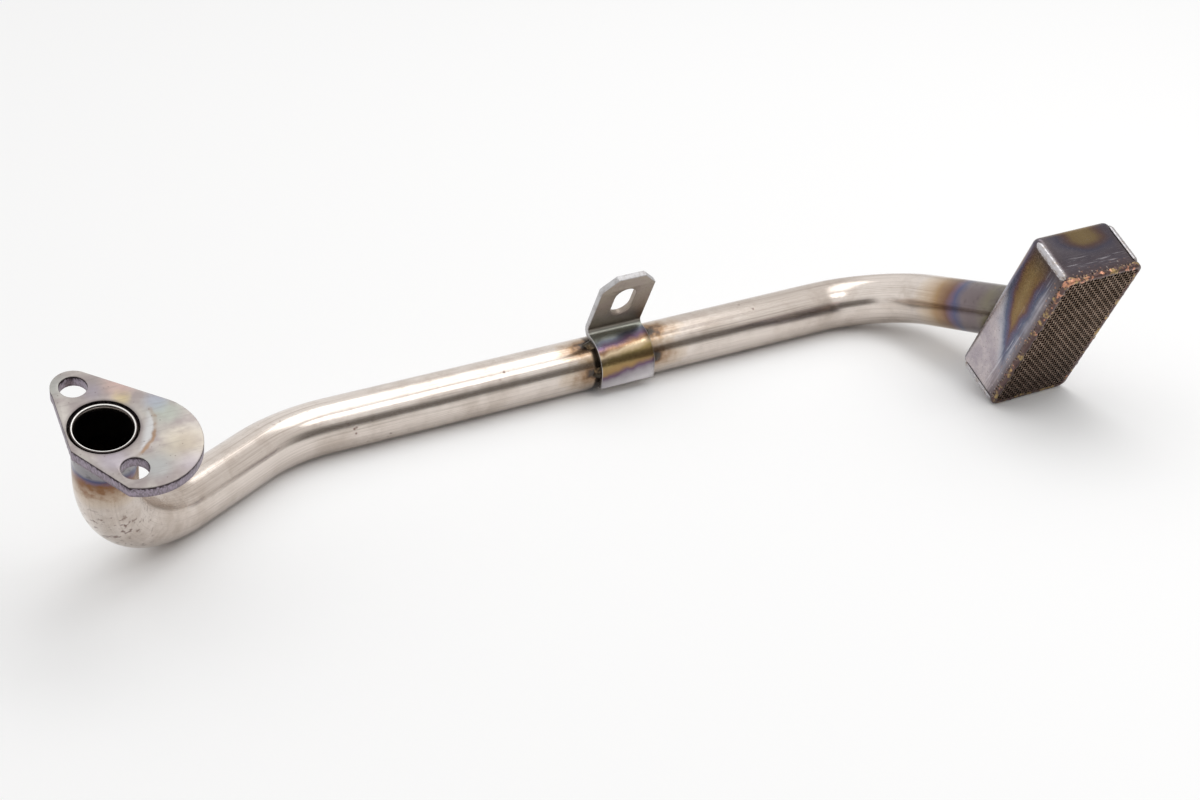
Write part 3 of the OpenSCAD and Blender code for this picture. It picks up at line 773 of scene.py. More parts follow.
def strap_finish(scene):
    """Scaled strip with heat tints over its bend, painted highlights among them, and bright sheared edges."""
    c, m = tones(scene), Finish("strap_steel_bent")
    size = scene.pickup_strap
    spot, flat = m.place(), m.drawn()
    x, s, _ = m.parts(flat)
    aside = m.math("ABSOLUTE", x)
    half, run = mm(size.width) / 2, strip_run(scene)
    wrap_end, fold_end, top = run.wrap_end, run.fold_end, run.top
    patch, fine = m.grain(spot, 7.0, 4.0, 0.6), m.grain(spot, 1.2, 4.0, 0.6)
    tone = m.mix(m.step(patch, 0.35, 0.7), c.strip, SHADE.strip_patch)
    tone = m.mix(m.step(fine, 0.5, 0.75, 0.0, 0.3), tone, SHADE.strip_scale)
    # painted shade: the tab darkened for about ten millimetres above the fold
    low = m.add(s, m.times(6.0, m.add(patch, -0.5)))
    tone = m.mix(m.step(low, fold_end, fold_end + 10.0, 0.75, 0.0), tone, SHADE.fold_shade)

    # heat tints round the tube, from the lip to the fold, with painted highlights in them: a cream line in the straw
    # band and a lighter band along the fold
    slanted = m.add(m.add(s, m.times(-0.14, x)), m.swing(spot, 6.0, 3.2))
    tone = m.tint(tone, slanted, 0.0, 32.0, [
        (0.5, SHADE.lip_bright, 1.0), (4.6, SHADE.lip_grey, 1.0), (6.6, c.purple, 1.0),
        (8.4, SHADE.strap_bronze, 1.0), (12.5, SHADE.strap_gold, 1.0),
        # the straw stop is lightened as a painted highlight line
        (15.0, SHADE.strap_straw, 1.0), (16.4, SHADE.strap_brown, 1.0), (18.4, c.purple, 1.0),
        # the green and pale stops are lightened as painted highlight along the fold
        (20.6, SHADE.strap_blue, 1.0), (22.8, SHADE.strap_green, 1.0),
        (28.0, SHADE.strap_pale, 1.0)], m.step(s, wrap_end, fold_end, 1.0, 0.0))
    soot = m.times(m.step(aside, 9.5, 12.6), m.step(patch, 0.4, 0.66))
    tone = m.mix(m.times(soot, m.step(s, wrap_end, wrap_end + 4.0, 0.6, 0.0)), tone, c.soot)

    # sheared edges
    rim = m.step(aside, half - 0.30, half - 0.16)
    clip = m.add(aside, s)
    clip_at = half + top - mm(size.clip)
    cut = m.math("MAXIMUM", m.step(s, top - 0.3, top - 0.15), m.step(clip, clip_at - 0.45, clip_at - 0.2))
    cut = m.math("MAXIMUM", m.math("MAXIMUM", cut, m.step(s, 0.15, 0.3, 1.0, 0.0)), rim)
    shear = m.mix(m.step(m.grain(spot, 2.0, 3.0, 0.6), 0.42, 0.7, 0.0, 0.6), c.sheared, SHADE.shear_dull)
    tone = m.mix(m.times(cut, m.step(s, wrap_end - 2.0, fold_end, 0.75, 1.0)), tone, shear)
    rough = m.add(m.times(0.16, fine), m.step(s, wrap_end - 8.0, wrap_end - 3.0, 0.12, 0.32))
    return m.done(tone, rough, m.add(fine, m.times(0.6, patch)), 0.03)


def sheet_finish(scene):
    """Grey lilac sheet with a gold tongue edged in purple and blue on each side, and streaks along the screen, the
    light ones painted highlights.
    """
    c, m = tones(scene), Finish("folded_box_steel")
    size = scene.pickup_box
    spot, local = m.place(), m.drawn()
    x, y, z = m.parts(local)
    aside = m.math("ABSOLUTE", x)
    half, low, high = box_sides(size)
    patch, fine = m.grain(spot, 11.0, 4.0, 0.6), m.grain(spot, 1.3, 4.0, 0.6)
    tone = m.mix(m.step(patch, 0.35, 0.65), c.sheet, SHADE.sheet_patch)

    # heat tints: a tongue on each side, a patch on the upper end and rings round the hole in the back
    warp = m.swing(spot, 10.0, 5.0)
    heat = [(-9.0, c.sheet, 0.0), (-4.0, SHADE.pale_blue, 0.6), (-1.0, SHADE.sheet_blue, 0.95),
            (1.0, SHADE.sheet_purple, 0.95), (2.2, SHADE.sheet_brown, 1.0),
            (3.6, SHADE.sheet_bronze, 1.0), (7.5, SHADE.sheet_gold, 1.0)]
    fall = m.less(high - 14.7, y)
    back_flank = m.add(m.add(2.3, m.times(0.12, fall)), m.times(0.0075, fall, fall))
    tongue = m.math("MINIMUM", m.less(z, back_flank), m.less(17.0, z))
    tone = m.tint(tone, m.add(tongue, warp), -9.0, 9.0, heat, m.step(aside, 17.0, 19.0))
    on_top = m.step(y, high - 5.0, high - 1.0)
    inset = m.math("MAXIMUM", m.add(z, -6.0), 0.0)
    off = m.times(0.6, m.add(m.add(x, -2.4), m.times(-0.35, inset)))
    patch_d = m.math("SQRT", m.add(m.times(off, off), m.times(1.3, inset, inset)))
    tone = m.mix(m.times(on_top, m.step(z, 4.0, 17.0, 0.75, 0.95)), tone, SHADE.end_dark)
    tone = m.tint(tone, m.add(m.less(6.5, patch_d), m.times(0.7, warp)), -9.0, 9.0, [
        (-5.0, SHADE.end_grey, 0.0), (-1.0, SHADE.end_blue, 0.9),
        (1.5, SHADE.end_brown, 1.0), (3.5, SHADE.end_bronze, 1.0),
        (8.0, SHADE.end_gold, 1.0)], on_top)
    from_hole = m.vector("LENGTH", m.vector("MULTIPLY", local, (1.0, 0.72, 0.4)))
    ring = m.add(m.add(from_hole, -12.0), m.times(0.8, warp))
    tone = m.tint(tone, ring, 0.0, 40.0, [
        (0.0, c.soot, 0.8), (4.0, SHADE.back_olive, 0.8), (9.0, c.grey_blue, 0.7), (14.0, c.blue, 0.7),
        (17.0, c.purple, 0.8), (22.0, c.bronze, 0.7), (30.0, c.straw, 0.0)], m.step(z, 1.0, 3.0, 1.0, 0.0))

    # streaks along the open side, the light ones painted highlights, and the burnt and spattered rim, with painted
    # shade at the upper corners
    rim = m.add(z, m.times(0.7, warp))
    on_end = m.math("MAXIMUM", m.step(y, high - 3.2, high - 1.6), m.step(y, 1.6 + low, 3.2 + low, 1.0, 0.0))
    streaks = m.times(m.grain(local, 1.0, 4.0, 0.6, (1.4, 0.05, 1.4)), m.less(1.0, on_end))
    streaks = m.add(streaks, m.times(m.grain(local, 1.0, 4.0, 0.6, (0.07, 1.4, 1.4)), on_end))
    tone = m.mix(m.times(m.step(z, 13.0, 19.0), m.step(streaks, 0.42, 0.66, 0.0, 0.5)), tone, SHADE.streak_dark)
    # painted highlights: light streaks near the open side
    light = m.times(m.band(z, 14.5, 21.0, 2.0), m.step(streaks, 0.34, 0.46, 0.6, 0.0))
    tone = m.mix(light, tone, SHADE.streak_light)
    tone = m.mix(m.step(rim, 18.5, 23.0, 0.0, 0.75), tone, SHADE.rim_burnt)
    bright = m.times(m.step(m.cells(spot, 1.7), 0.12, 0.3, 0.7, 0.0), m.step(fine, 0.45, 0.6))
    tone = m.mix(m.times(bright, m.step(rim, 17.5, 21.0)), tone, SHADE.rim_speck)
    # painted shade: the sides darkened towards the upper end
    corner = m.times(m.step(aside, 12.0, 19.0), m.step(z, 2.0, 3.2), m.step(y, high - 14.0, high - 2.0, 0.0, 0.7))
    tone = m.mix(corner, tone, SHADE.corner_shade)
    spatter = m.times(m.step(m.grain(spot, 1.5, 2.0), 0.62, 0.7), m.step(rim, 18.0, 23.0))
    tone = m.mix(m.times(0.8, spatter), tone, SHADE.spatter)
    tone = m.mix(m.step(m.cells(spot, 3.1), 0.04, 0.12, 0.4, 0.0), tone, SHADE.sheet_pit)
    tone = m.mix(m.step(fine, 0.52, 0.75, 0.0, 0.2), tone, SHADE.sheet_dull)

    # sooty inside, darkened also as painted shade
    wall = mm(size.sheet)
    inside = m.times(m.step(aside, half - wall, half - 0.5 * wall, 1.0, 0.0), m.step(z, 0.5 * wall, 0.9 * wall))
    inside = m.times(inside, m.step(y, high - wall, high - 0.5 * wall, 1.0, 0.0))
    inside = m.times(inside, m.step(y, low + 0.5 * wall, low + wall))
    tone = m.mix(m.times(0.9, inside), tone, c.soot)
    rough = m.add(m.times(0.2, fine), m.add(0.16, m.step(rim, 15.0, 22.0, 0.0, 0.12)))
    return m.done(tone, rough, m.add(m.add(m.times(0.5, fine), patch), m.times(1.5, spatter)), 0.05)


def bead_finish(scene, name, soot):
    """Dull weld metal with brown and sooty patches."""
    c, m = tones(scene), Finish(name)
    spot = m.place()
    patch, fine = m.grain(spot, 3.2, 3.0), m.grain(spot, 0.8, 4.0, 0.6)
    tone = m.mix(m.step(patch, 0.38, 0.62), c.bead, SHADE.bead_light)
    tone = m.mix(m.step(m.grain(spot, 5.0, 2.0), 0.45, 0.65, 0.0, 0.5), tone, c.bronze)
    tone = m.mix(m.step(fine, 0.62 - 0.4 * soot, 0.7, 0.0, soot), tone, c.soot)
    return m.done(tone, m.add(0.26, m.times(0.3, fine)), fine, 0.1)


def seam_finish(scene):
    """Bright weld metal of the box's corners, with brown flecks."""
    c, m = tones(scene), Finish("seam_bead_metal")
    spot = m.place()
    patch, fine = m.grain(spot, 4.0, 3.0), m.grain(spot, 1.0, 3.0)
    tone = m.mix(m.step(patch, 0.5, 0.7, 0.0, 0.7), c.seam, SHADE.seam_brown)
    tone = m.mix(m.step(fine, 0.55, 0.8, 0.0, 0.3), tone, SHADE.seam_dull)
    return m.done(tone, m.add(0.2, m.times(0.16, fine)), patch, 0.05)


def wire_finish(scene, k):
    """Oily wire, darker towards the lower end, with painted glints."""
    c, m = tones(scene), Finish("woven_wire")
    spot = m.place()
    patch, fine = m.grain(spot, 7.0, 3.0), m.grain(spot, 0.9, 3.0)
    y = m.along(spot, k.entry, k.box_y)
    tone = m.mix(m.step(patch, 0.36, 0.64), c.wire, SHADE.wire_brown)
    tone = m.mix(m.step(y, -24.0, 24.0, 0.6, 0.0), tone, SHADE.wire_dark)
    # painted glints: lighter specks scattered over the wires
    tone = m.mix(m.step(fine, 0.5, 0.72, 0.0, 0.4), tone, SHADE.wire_glint)
    return m.done(tone, m.add(0.14, m.times(0.16, fine)), fine, 0.02)


def braze_finish(scene, k):
    """Copper and gold braze, richest at the upper corner, with dark flux between its lumps."""
    c, m = tones(scene), Finish("braze_rim_metal")
    size = scene.pickup_box
    spot = m.place()
    lump, fine = m.grain(spot, 2.6, 3.0), m.grain(spot, 0.8, 4.0, 0.6)
    half, _, high = box_sides(size)
    upper = k.entry - half * k.box_x + high * k.box_y + 24.0 * k.box_z
    rich = m.step(m.vector("DISTANCE", spot, tuple(upper)), 4.0, 20.0, 0.12, 0.0)
    y = m.along(spot, k.entry, k.box_y)
    rich = m.add(rich, m.step(y, high - 6.0, high - 2.0, -0.09, 0.0))
    tone = m.mix(m.step(m.add(lump, rich), 0.54, 0.62), SHADE.flux, c.braze)
    tone = m.mix(m.step(m.grain(spot, 3.4, 2.0), 0.54, 0.66, 0.0, 0.7), tone, SHADE.braze_gold)
    tone = m.mix(m.step(fine, 0.52, 0.72, 0.0, 0.5), tone, SHADE.flux_dark)
    return m.done(tone, m.add(0.2, m.times(0.25, fine)), m.add(lump, fine), 0.12)


class PICKUP_OT_tube(bpy.types.Operator):
    """Builds the drawn tube, with its bends, its bore and the deburred rim at the mouth"""
    bl_idname = "pickup.tube"
    bl_label = "Build tube"
    rounds = 72
    spacing = 2.6  # of the rings along the axis
    cut_back = 13.0  # from the last whole ring to the strainer's back
    waviness = 0.03
    flattening, inner_share = 0.16, 0.4  # of a bend's outer side, and the share of it on the inner side

    def execute(self, context):
        """Sweeps the outside and the bore along the axis and joins them at both ends."""
        k, size, box = layout(context.scene), context.scene.pickup_tube, context.scene.pickup_box
        outer = mm(size.outside) / 2
        inner = outer - mm(size.wall)
        start = k.mouth - mm(size.recess) * k.up
        end = k.entry - self.cut_back * k.inward
        radii = [mm(size.elbow_r), mm(size.kick_r), mm(size.inlet_r)]
        line, along, bend = axis_line([start, k.elbow, k.kick, k.inlet, end], radii, self.spacing)
        side, other, tangent = carried_frames(line, k.plate_x)
        rim = [(1.3, inner), (0.45, inner + 0.35), (0.08, inner + 0.72), (0.0, inner + 0.84), (0.0, outer - 0.4),
               (0.08, outer - 0.22), (0.3, outer - 0.06), (0.8, outer - 0.01)]
        rings = [(i, 0.0, inner, False) for i in range(len(line) - 1, 0, -1)]
        rings += [(0, off, radius, False) for off, radius in rim]
        rings += [(i, 0.0, outer, True) for i in range(1, len(line))]
        stop = mm(box.sheet) + mm(box.stub)
        points, drawn = [], []
        turns = [2 * math.pi * j / self.rounds for j in range(self.rounds)]

        def cut_ring(radius):
            """Adds a ring where the tube is cut off inside the box."""
            for a in turns:
                point = line[-1] + radius * (math.cos(a) * side[-1] + math.sin(a) * other[-1])
                far = way_in(k, point, stop)
                points.append(point + far * k.inward)
                drawn.append((along[-1] + far, radius * math.cos(a), radius * math.sin(a)))

        cut_ring(inner)
        for i, off, radius, skin in rings:
            for a in turns:
                way = math.cos(a) * side[i] + math.sin(a) * other[i]
                r = radius
                if skin:
                    lean = way @ bend[i]
                    r -= self.waviness * (1 + noise.noise(Vector((along[i] / 14, 2 * math.cos(a), 2 * math.sin(a)))))
                    r -= self.flattening * lean * lean * (1.0 if lean < 0 else self.inner_share)
                points.append(line[i] + off * tangent[i] + r * way)
                drawn.append((along[i] + off, radius * math.cos(a), radius * math.sin(a)))
        cut_ring(outer)
        faces = grid(len(rings) + 2, self.rounds, close_rows=True)
        piece("drawn_tube", points, faces, tube_finish(context.scene, k), ["pickup_tube"], 50, drawn)
        return {"FINISHED"}


class PICKUP_OT_plate(bpy.types.Operator):
    """Builds the pump flange's plate, with its holes and sawn edge"""
    bl_idname = "pickup.plate"
    bl_label = "Build pump flange"
    pad_from, sawn_to = 230, 385  # degrees round the pad, where it starts and where its sawn edge ends
    saw_depth = 0.09
    eased = 0.28

    def execute(self, context):
        """Fills the outline round its holes and lays it on the mouth."""
        k, size = layout(context.scene), context.scene.pickup_plate
        thick, lug_r, pad_r, bolt_r = mm(size.thick), mm(size.lug_r), mm(size.pad_r), mm(size.bolt_hole) / 2
        lug, pad, corner = plate_marks(size)
        gap = pad - lug
        touch = math.degrees(math.atan2(gap[1], gap[0])) + 90
        touch -= math.degrees(math.asin((lug_r - pad_r) / np.linalg.norm(gap)))
        outline = [corner]
        for a in np.linspace(self.pad_from, 360 + touch, 150):
            saw = self.saw_depth * (1 + noise.noise(Vector((a * 0.9, 3.0, 1.0)))) * (a < self.sawn_to)
            outline.append(pad + (pad_r - saw) * turned(a))
        outline += [lug + lug_r * turned(a) for a in np.linspace(touch, 180, 40)]
        holes = [ring_loop(lug, bolt_r, 48), ring_loop(-lug, bolt_r, 48), ring_loop((0, 0), mm(size.hole) / 2, 96)]
        points, faces = taken(flat_plate([outline] + holes, thick, self.eased))
        points = k.mouth + points[:, :1] * k.plate_x + points[:, 1:2] * k.plate_y + (points[:, 2:] - thick / 2) * k.up
        piece("pump_plate", points, faces, plate_finish(context.scene, k), ["pump_flange"], 30)
        return {"FINISHED"}


class PICKUP_OT_flange_bead(bpy.types.Operator):
    """Builds the bead round the tube under the pump flange"""
    bl_idname = "pickup.flange_bead"
    bl_label = "Build flange bead"
    count, rounds = 180, 14  # points along the bead and round its section
    edge_gap = 0.2  # from the bead to the plate's straight edge

    def execute(self, context):
        """Runs a rippled fillet round the tube, narrower where the plate's straight edge is near."""
        k, size = layout(context.scene), context.scene.pickup_plate
        inner, outer = mm(context.scene.pickup_tube.outside) / 2 + CLEAR, mm(size.bead_r)
        under, tall = mm(size.thick) + CLEAR, mm(size.bead_h)
        lug, _, corner = plate_marks(size)
        run = unit(corner - (lug + mm(size.lug_r) * turned(180)))
        edge_way = np.array([run[1], -run[0]])
        edge_far = edge_way @ corner - self.edge_gap
        points = []
        for i in range(self.count):
            a = 2 * math.pi * i / self.count
            wave = 1 - 0.12 * ripple(30 * a, 3 * math.cos(a), 3 * math.sin(a), 5.0)
            wide = min(outer - inner, edge_far / max(0.1, edge_way @ turned(math.degrees(a))) - inner)
            way = math.cos(a) * k.plate_x + math.sin(a) * k.plate_y
            for out, drop in fillet(self.rounds, wide * wave, tall * wave, 0.9):
                points.append(k.mouth + (inner + out) * way - (under + drop) * k.up)
        faces = grid(self.count, self.rounds, close_rows=True)
        finish = bead_finish(context.scene, "flange_bead_metal", 0.35)
        piece("flange_bead", points, faces, finish, ["flange_weld"], 60)
        return {"FINISHED"}


class PICKUP_OT_strap(bpy.types.Operator):
    """Builds the bent strap with its clipped and slotted tab"""
    bl_idname = "pickup.strap"
    bl_label = "Build strap"
    eased = 0.25

    def execute(self, context):
        """Cuts the strip flat and bends it round the tube."""
        k, size, run = layout(context.scene), context.scene.pickup_strap, strip_run(context.scene)
        half, clip, top = mm(size.width) / 2, mm(size.clip), run.top
        outline = [(-half, 0), (half, 0), (half, top - clip), (half - clip, top), (clip - half, top),
                   (-half, top - clip)]
        reach, slot_r = (mm(size.slot_l) - mm(size.slot_w)) / 2, mm(size.slot_w) / 2
        slot_y = top - mm(size.slot_drop)
        slot = [np.array([0, slot_y + reach]) + slot_r * turned(180 - a) for a in range(0, 181, 6)]
        slot += [np.array([0, slot_y - reach]) + slot_r * turned(-a) for a in range(0, 181, 6)]
        work = flat_plate([outline, slot], run.thick, self.eased)
        for s in np.concatenate([np.linspace(0.8, run.wrap_end, 26), np.linspace(run.wrap_end, run.fold_end, 13)[1:],
                                 np.linspace(run.fold_end, top, 8)[1:-1]]):
            bmesh.ops.bisect_plane(work, geom=work.verts[:] + work.edges[:] + work.faces[:], plane_co=(0, s, 0),
                                   plane_no=(0, 1, 0))
        flat, faces = taken(work)

        lip_at, fold_at = size.fold_at + size.wrap, size.fold_at
        middle = (run.wrap_r + run.fold_r) * radial(fold_at)
        points = []
        for x, s, t in flat:
            if s < run.lip:
                front = radial(lip_at)
                spot = run.wrap_r * front + (run.lip - s) * downward(lip_at)
            elif s < run.wrap_end:
                front = radial(lip_at - (s - run.lip) / run.wrap_r)
                spot = run.wrap_r * front
            elif s < run.fold_end:
                front = downward(fold_at - math.pi / 2 + (s - run.wrap_end) / run.fold_r)
                spot = middle - run.fold_r * front
            else:
                front = downward(size.tab_lean)
                spot = middle - run.fold_r * front + (s - run.fold_end) * radial(size.tab_lean)
            points.append(k.strap_at + np.array([x, 0, 0]) + spot + t * front)
        finish = strap_finish(context.scene)
        piece("bent_strap", points, faces, finish, ["support_strap"], 40, flat)
        return {"FINISHED"}


class PICKUP_OT_tacks(bpy.types.Operator):
    """Builds the four tacks that hold the strap"""
    bl_idname = "pickup.tacks"
    bl_label = "Build tacks"
    count, rounds = 30, 10  # points along a tack and round its section

    def execute(self, context):
        """Lays a lump on the tube beside the strap at each of its corners."""
        k, size, run = layout(context.scene), context.scene.pickup_strap, strip_run(context.scene)
        half, reach = mm(size.width) / 2, size.tack_sweep / 2
        upper, lower = size.fold_at + reach, size.fold_at + size.wrap - reach
        section = [((1 - t) ** 0.8, t ** 0.8) for t in np.linspace(0, 1, self.rounds - 1)] + [(0.0, 0.0)]
        points, faces = [], []
        for edge, at, wide, tall in ((-1, upper, 1.7, 0.5), (1, upper, 0.9, 0.5), (-1, lower, 1.3, 0.6),
                                     (1, lower, 0.9, 0.5)):
            first = len(points)
            for u in np.linspace(-1, 1, self.count):
                swell = 0.9 * math.sqrt(max(0.0, 1 - u ** 4)) + 0.06
                swell *= 0.8 + 0.3 * noise.noise(Vector((2.2 * u, 4.0 * edge, 7.0 * tall)))
                for out, rise in section:
                    x = edge * (half + CLEAR + wide * mm(size.tack_r) * swell * out)
                    lift = run.inner + tall * run.thick * swell * rise
                    points.append(k.strap_at + np.array([x, 0, 0]) + lift * radial(at + reach * u))
            faces += shifted(grid(self.count, self.rounds) + lids(self.count, self.rounds), first)
        finish = bead_finish(context.scene, "tack_metal", 0.9)
        piece("strap_beads", points, faces, finish, ["strap_tacks"], 60)
        return {"FINISHED"}


class PICKUP_OT_box(bpy.types.Operator):
    """Builds the folded strainer box with the hole in its back"""
    bl_idname = "pickup.box"
    bl_label = "Build strainer box"
    count = 240  # points round the box
    outer_least, inner_least = 0.6, 0.4  # smallest corner radius of the back's two faces

    def execute(self, context):
        """Runs rings from the hole in the back over the folds to the rim and down the inside again."""
        k, size = layout(context.scene), context.scene.pickup_box
        half, low, high = box_sides(size)
        deep, sheet, fold = mm(size.deep), mm(size.sheet), mm(size.fold_r)
        hole = mm(context.scene.pickup_tube.outside) / 2 + CLEAR
        rows = []

        def row(inset, radius, z):
            """Adds one ring, that far in from the box's sides."""
            ring = rounded_ring(half - inset, low + inset, high - inset, radius, self.count)
            rows.append([(x, y, z) for x, y in ring])

        def fold_rows(radius, least, turns):
            """Adds the rings of the fold between the back and the sides."""
            for a in np.radians(turns):
                inset = fold - radius * math.sin(a)
                row(inset, max(fold - inset, least), fold - radius * math.cos(a))

        def back_rows(z, radius, shares):
            """Adds the rings between the slanting hole in the back and the fold."""
            edge = rounded_ring(half - fold, low + fold, high - fold, radius, self.count)
            ring = []
            for x, y in edge:
                way = x * k.box_x + y * k.box_y
                point = k.entry + hole * unit(way - (way @ k.inward) * k.inward)
                point = point + way_in(k, point, z) * k.inward - k.entry
                ring.append((point @ k.box_x, point @ k.box_y))
            ring = np.array(ring)
            for share in shares:
                rows.append([(x, y, z) for x, y in ring + share * (edge - ring)])

        back_rows(0.0, self.outer_least, np.linspace(0, 1, 9))
        fold_rows(fold, self.outer_least, np.linspace(0, 90, 9)[1:])
        for z in np.linspace(fold, deep, 12)[1:]:
            row(0.0, fold, z)
        for z in np.linspace(deep, fold, 6):
            row(sheet, fold - sheet, z)
        fold_rows(fold - sheet, self.inner_least, np.linspace(90, 0, 6)[1:-1])
        back_rows(sheet, self.inner_least, np.linspace(1, 0, 9))
        local = [spot for ring in rows for spot in ring]
        points = [in_box(k, *spot) for spot in local]
        faces = grid(len(rows), self.count, close_rows=True)
        piece("folded_box", points, faces, sheet_finish(context.scene), ["screen_box"], 35, local)
        return {"FINISHED"}


class PICKUP_OT_seams(bpy.types.Operator):
    """Builds the beads along the strainer box's four corners"""
    bl_idname = "pickup.seams"
    bl_label = "Build seam beads"
    count, rounds = 90, 12  # points along a bead and round its section
    ripple_every = 2.2

    def execute(self, context):
        """Runs a low rippled bead up each corner, from the fold to the braze."""
        k, size = layout(context.scene), context.scene.pickup_box
        half, low, high = box_sides(size)
        fold, radius = mm(size.fold_r), mm(size.seam_r)
        run = mm(size.deep) - mm(size.braze_lap) - fold - 2 * CLEAR
        points, faces = [], []
        for sx, y, sy in ((-1, low, -1), (-1, high, 1), (1, low, -1), (1, high, 1)):
            first = len(points)
            out, side = unit(sx * k.box_x + sy * k.box_y), unit(sx * k.box_x - sy * k.box_y)
            corner = in_box(k, sx * (half - fold), y - sy * fold, 0) + (fold + CLEAR) * out
            for u in np.linspace(0, 1, self.count):
                z = fold + CLEAR + u * run
                swell = min(1.0, 0.35 + 8 * min(u, 1 - u))
                swell *= 1 - 0.07 * ripple(2 * math.pi * z / self.ripple_every, z / 4, sx, sy)
                for t in np.linspace(0, math.pi, self.rounds):
                    rise = math.sin(t) - 0.22 * abs(math.cos(t))
                    points.append(corner + z * k.box_z + radius * swell * (1.5 * math.cos(t) * side + rise * out))
            faces += shifted(grid(self.count, self.rounds) + lids(self.count, self.rounds), first)
        piece("seam_beads", points, faces, seam_finish(context.scene), ["corner_welds"], 60)
        return {"FINISHED"}


class PICKUP_OT_entry_bead(bpy.types.Operator):
    """Builds the bead round the tube where it enters the strainer box"""
    bl_idname = "pickup.entry_bead"
    bl_label = "Build entry bead"
    count, rounds = 200, 14  # points along the bead and round its section

    def execute(self, context):
        """Runs a rippled fillet round the slanting tube on the box's back."""
        k, size = layout(context.scene), context.scene.pickup_box
        hole = mm(context.scene.pickup_tube.outside) / 2 + CLEAR
        wide, tall = mm(size.bead_w), mm(size.bead_h)
        across = unit(k.box_x - (k.box_x @ k.inward) * k.inward)
        upright = np.cross(k.inward, across)
        points = []
        for i in range(self.count):
            a = 2 * math.pi * i / self.count
            way = math.cos(a) * across + math.sin(a) * upright
            wave = 1 - 0.16 * ripple(34 * a, 2 * math.cos(a), 2 * math.sin(a), 9.0)
            for out, rise in fillet(self.rounds, wide * wave, tall * wave, 0.8):
                point = k.entry + (hole + out) * way
                points.append(point + way_in(k, point, -CLEAR - rise) * k.inward)
        faces = grid(self.count, self.rounds, close_rows=True)
        finish = bead_finish(context.scene, "entry_bead_metal", 0.6)
        piece("entry_bead", points, faces, finish, ["box_weld"], 60)
        return {"FINISHED"}


class PICKUP_OT_screen(bpy.types.Operator):
    """Weaves the screen over the strainer box's open side"""
    bl_idname = "pickup.screen"
    bl_label = "Build screen"
    sides = 6  # of a wire's section
    margin = 0.4  # from the outermost wire to the box's side, at least
    crown, sag = 0.66, 0.35  # height of the woven face over the box's rim, and how far it sinks to each edge
    corner = 5.0  # radius of the woven face's corners
    lap = 0.28  # how far the turned down ends stand out from the box's sides
    bend, drop = 1.1, 2.0  # radius of the turned down ends, and how far below the face they reach

    def execute(self, context):
        """Lays wires both ways, each over and under the next, turned down over the rim at both ends."""
        k, size = layout(context.scene), context.scene.pickup_box
        half, low, high = box_sides(size)
        deep, wire, pitch, corner = mm(size.deep), mm(size.wire), mm(size.pitch), self.corner
        middle, half_long = (low + high) / 2, (high - low) / 2

        def span(limit, other_limit, off):
            """Half the length of a wire that lies that far from the middle."""
            spare = abs(off) - (other_limit - corner)
            return limit if spare <= 0 else limit - corner + math.sqrt(max(0.0, corner * corner - spare * spare))

        def woven(name, limit, other_limit, lengthways):
            """Adds the wires of one direction."""
            def face(s, off):
                return deep + self.crown - self.sag * ((s / limit) ** 4 + (off / other_limit) ** 4)

            count = int((other_limit - self.margin) / pitch)
            points, faces = [], []
            for n in range(-count, count + 1):
                off, phase = n * pitch, n if lengthways else n + 1
                reach = span(limit, other_limit, off) + self.lap
                flat = reach - self.bend
                edge = face(flat, off)
                turns = [self.bend * turned(90 - t) for t in np.linspace(0, 90, 7)[1:]]
                ends = [(flat + out, edge - self.bend + up) for out, up in turns] + [(reach, edge - self.drop)]
                path = [(s, face(s, off) + 0.5 * wire * math.cos(math.pi * (s / pitch + phase)))
                        for s in np.linspace(-flat, flat, max(4, int(8 * flat / pitch)))]
                spots = np.array([(-s, z) for s, z in ends[::-1]] + path + ends)
                way = np.gradient(spots, axis=0)
                way /= np.linalg.norm(way, axis=1)[:, None]
                first = len(points)
                for (s, z), (ds, dz) in zip(spots, way):
                    for j in range(self.sides):
                        aside, up = 0.5 * wire * turned(360 * j / self.sides)
                        along, across = s - dz * up, off + aside
                        x, y = (across, along) if lengthways else (along, across)
                        points.append(in_box(k, x, middle + y, z + ds * up))
                faces += shifted(grid(len(spots), self.sides) + lids(len(spots), self.sides), first)
            piece(name, points, faces, wire_finish(context.scene, k), ["wire_screen"])

        woven("screen_warp", half_long, half, True)
        woven("screen_weft", half, half_long, False)
        return {"FINISHED"}


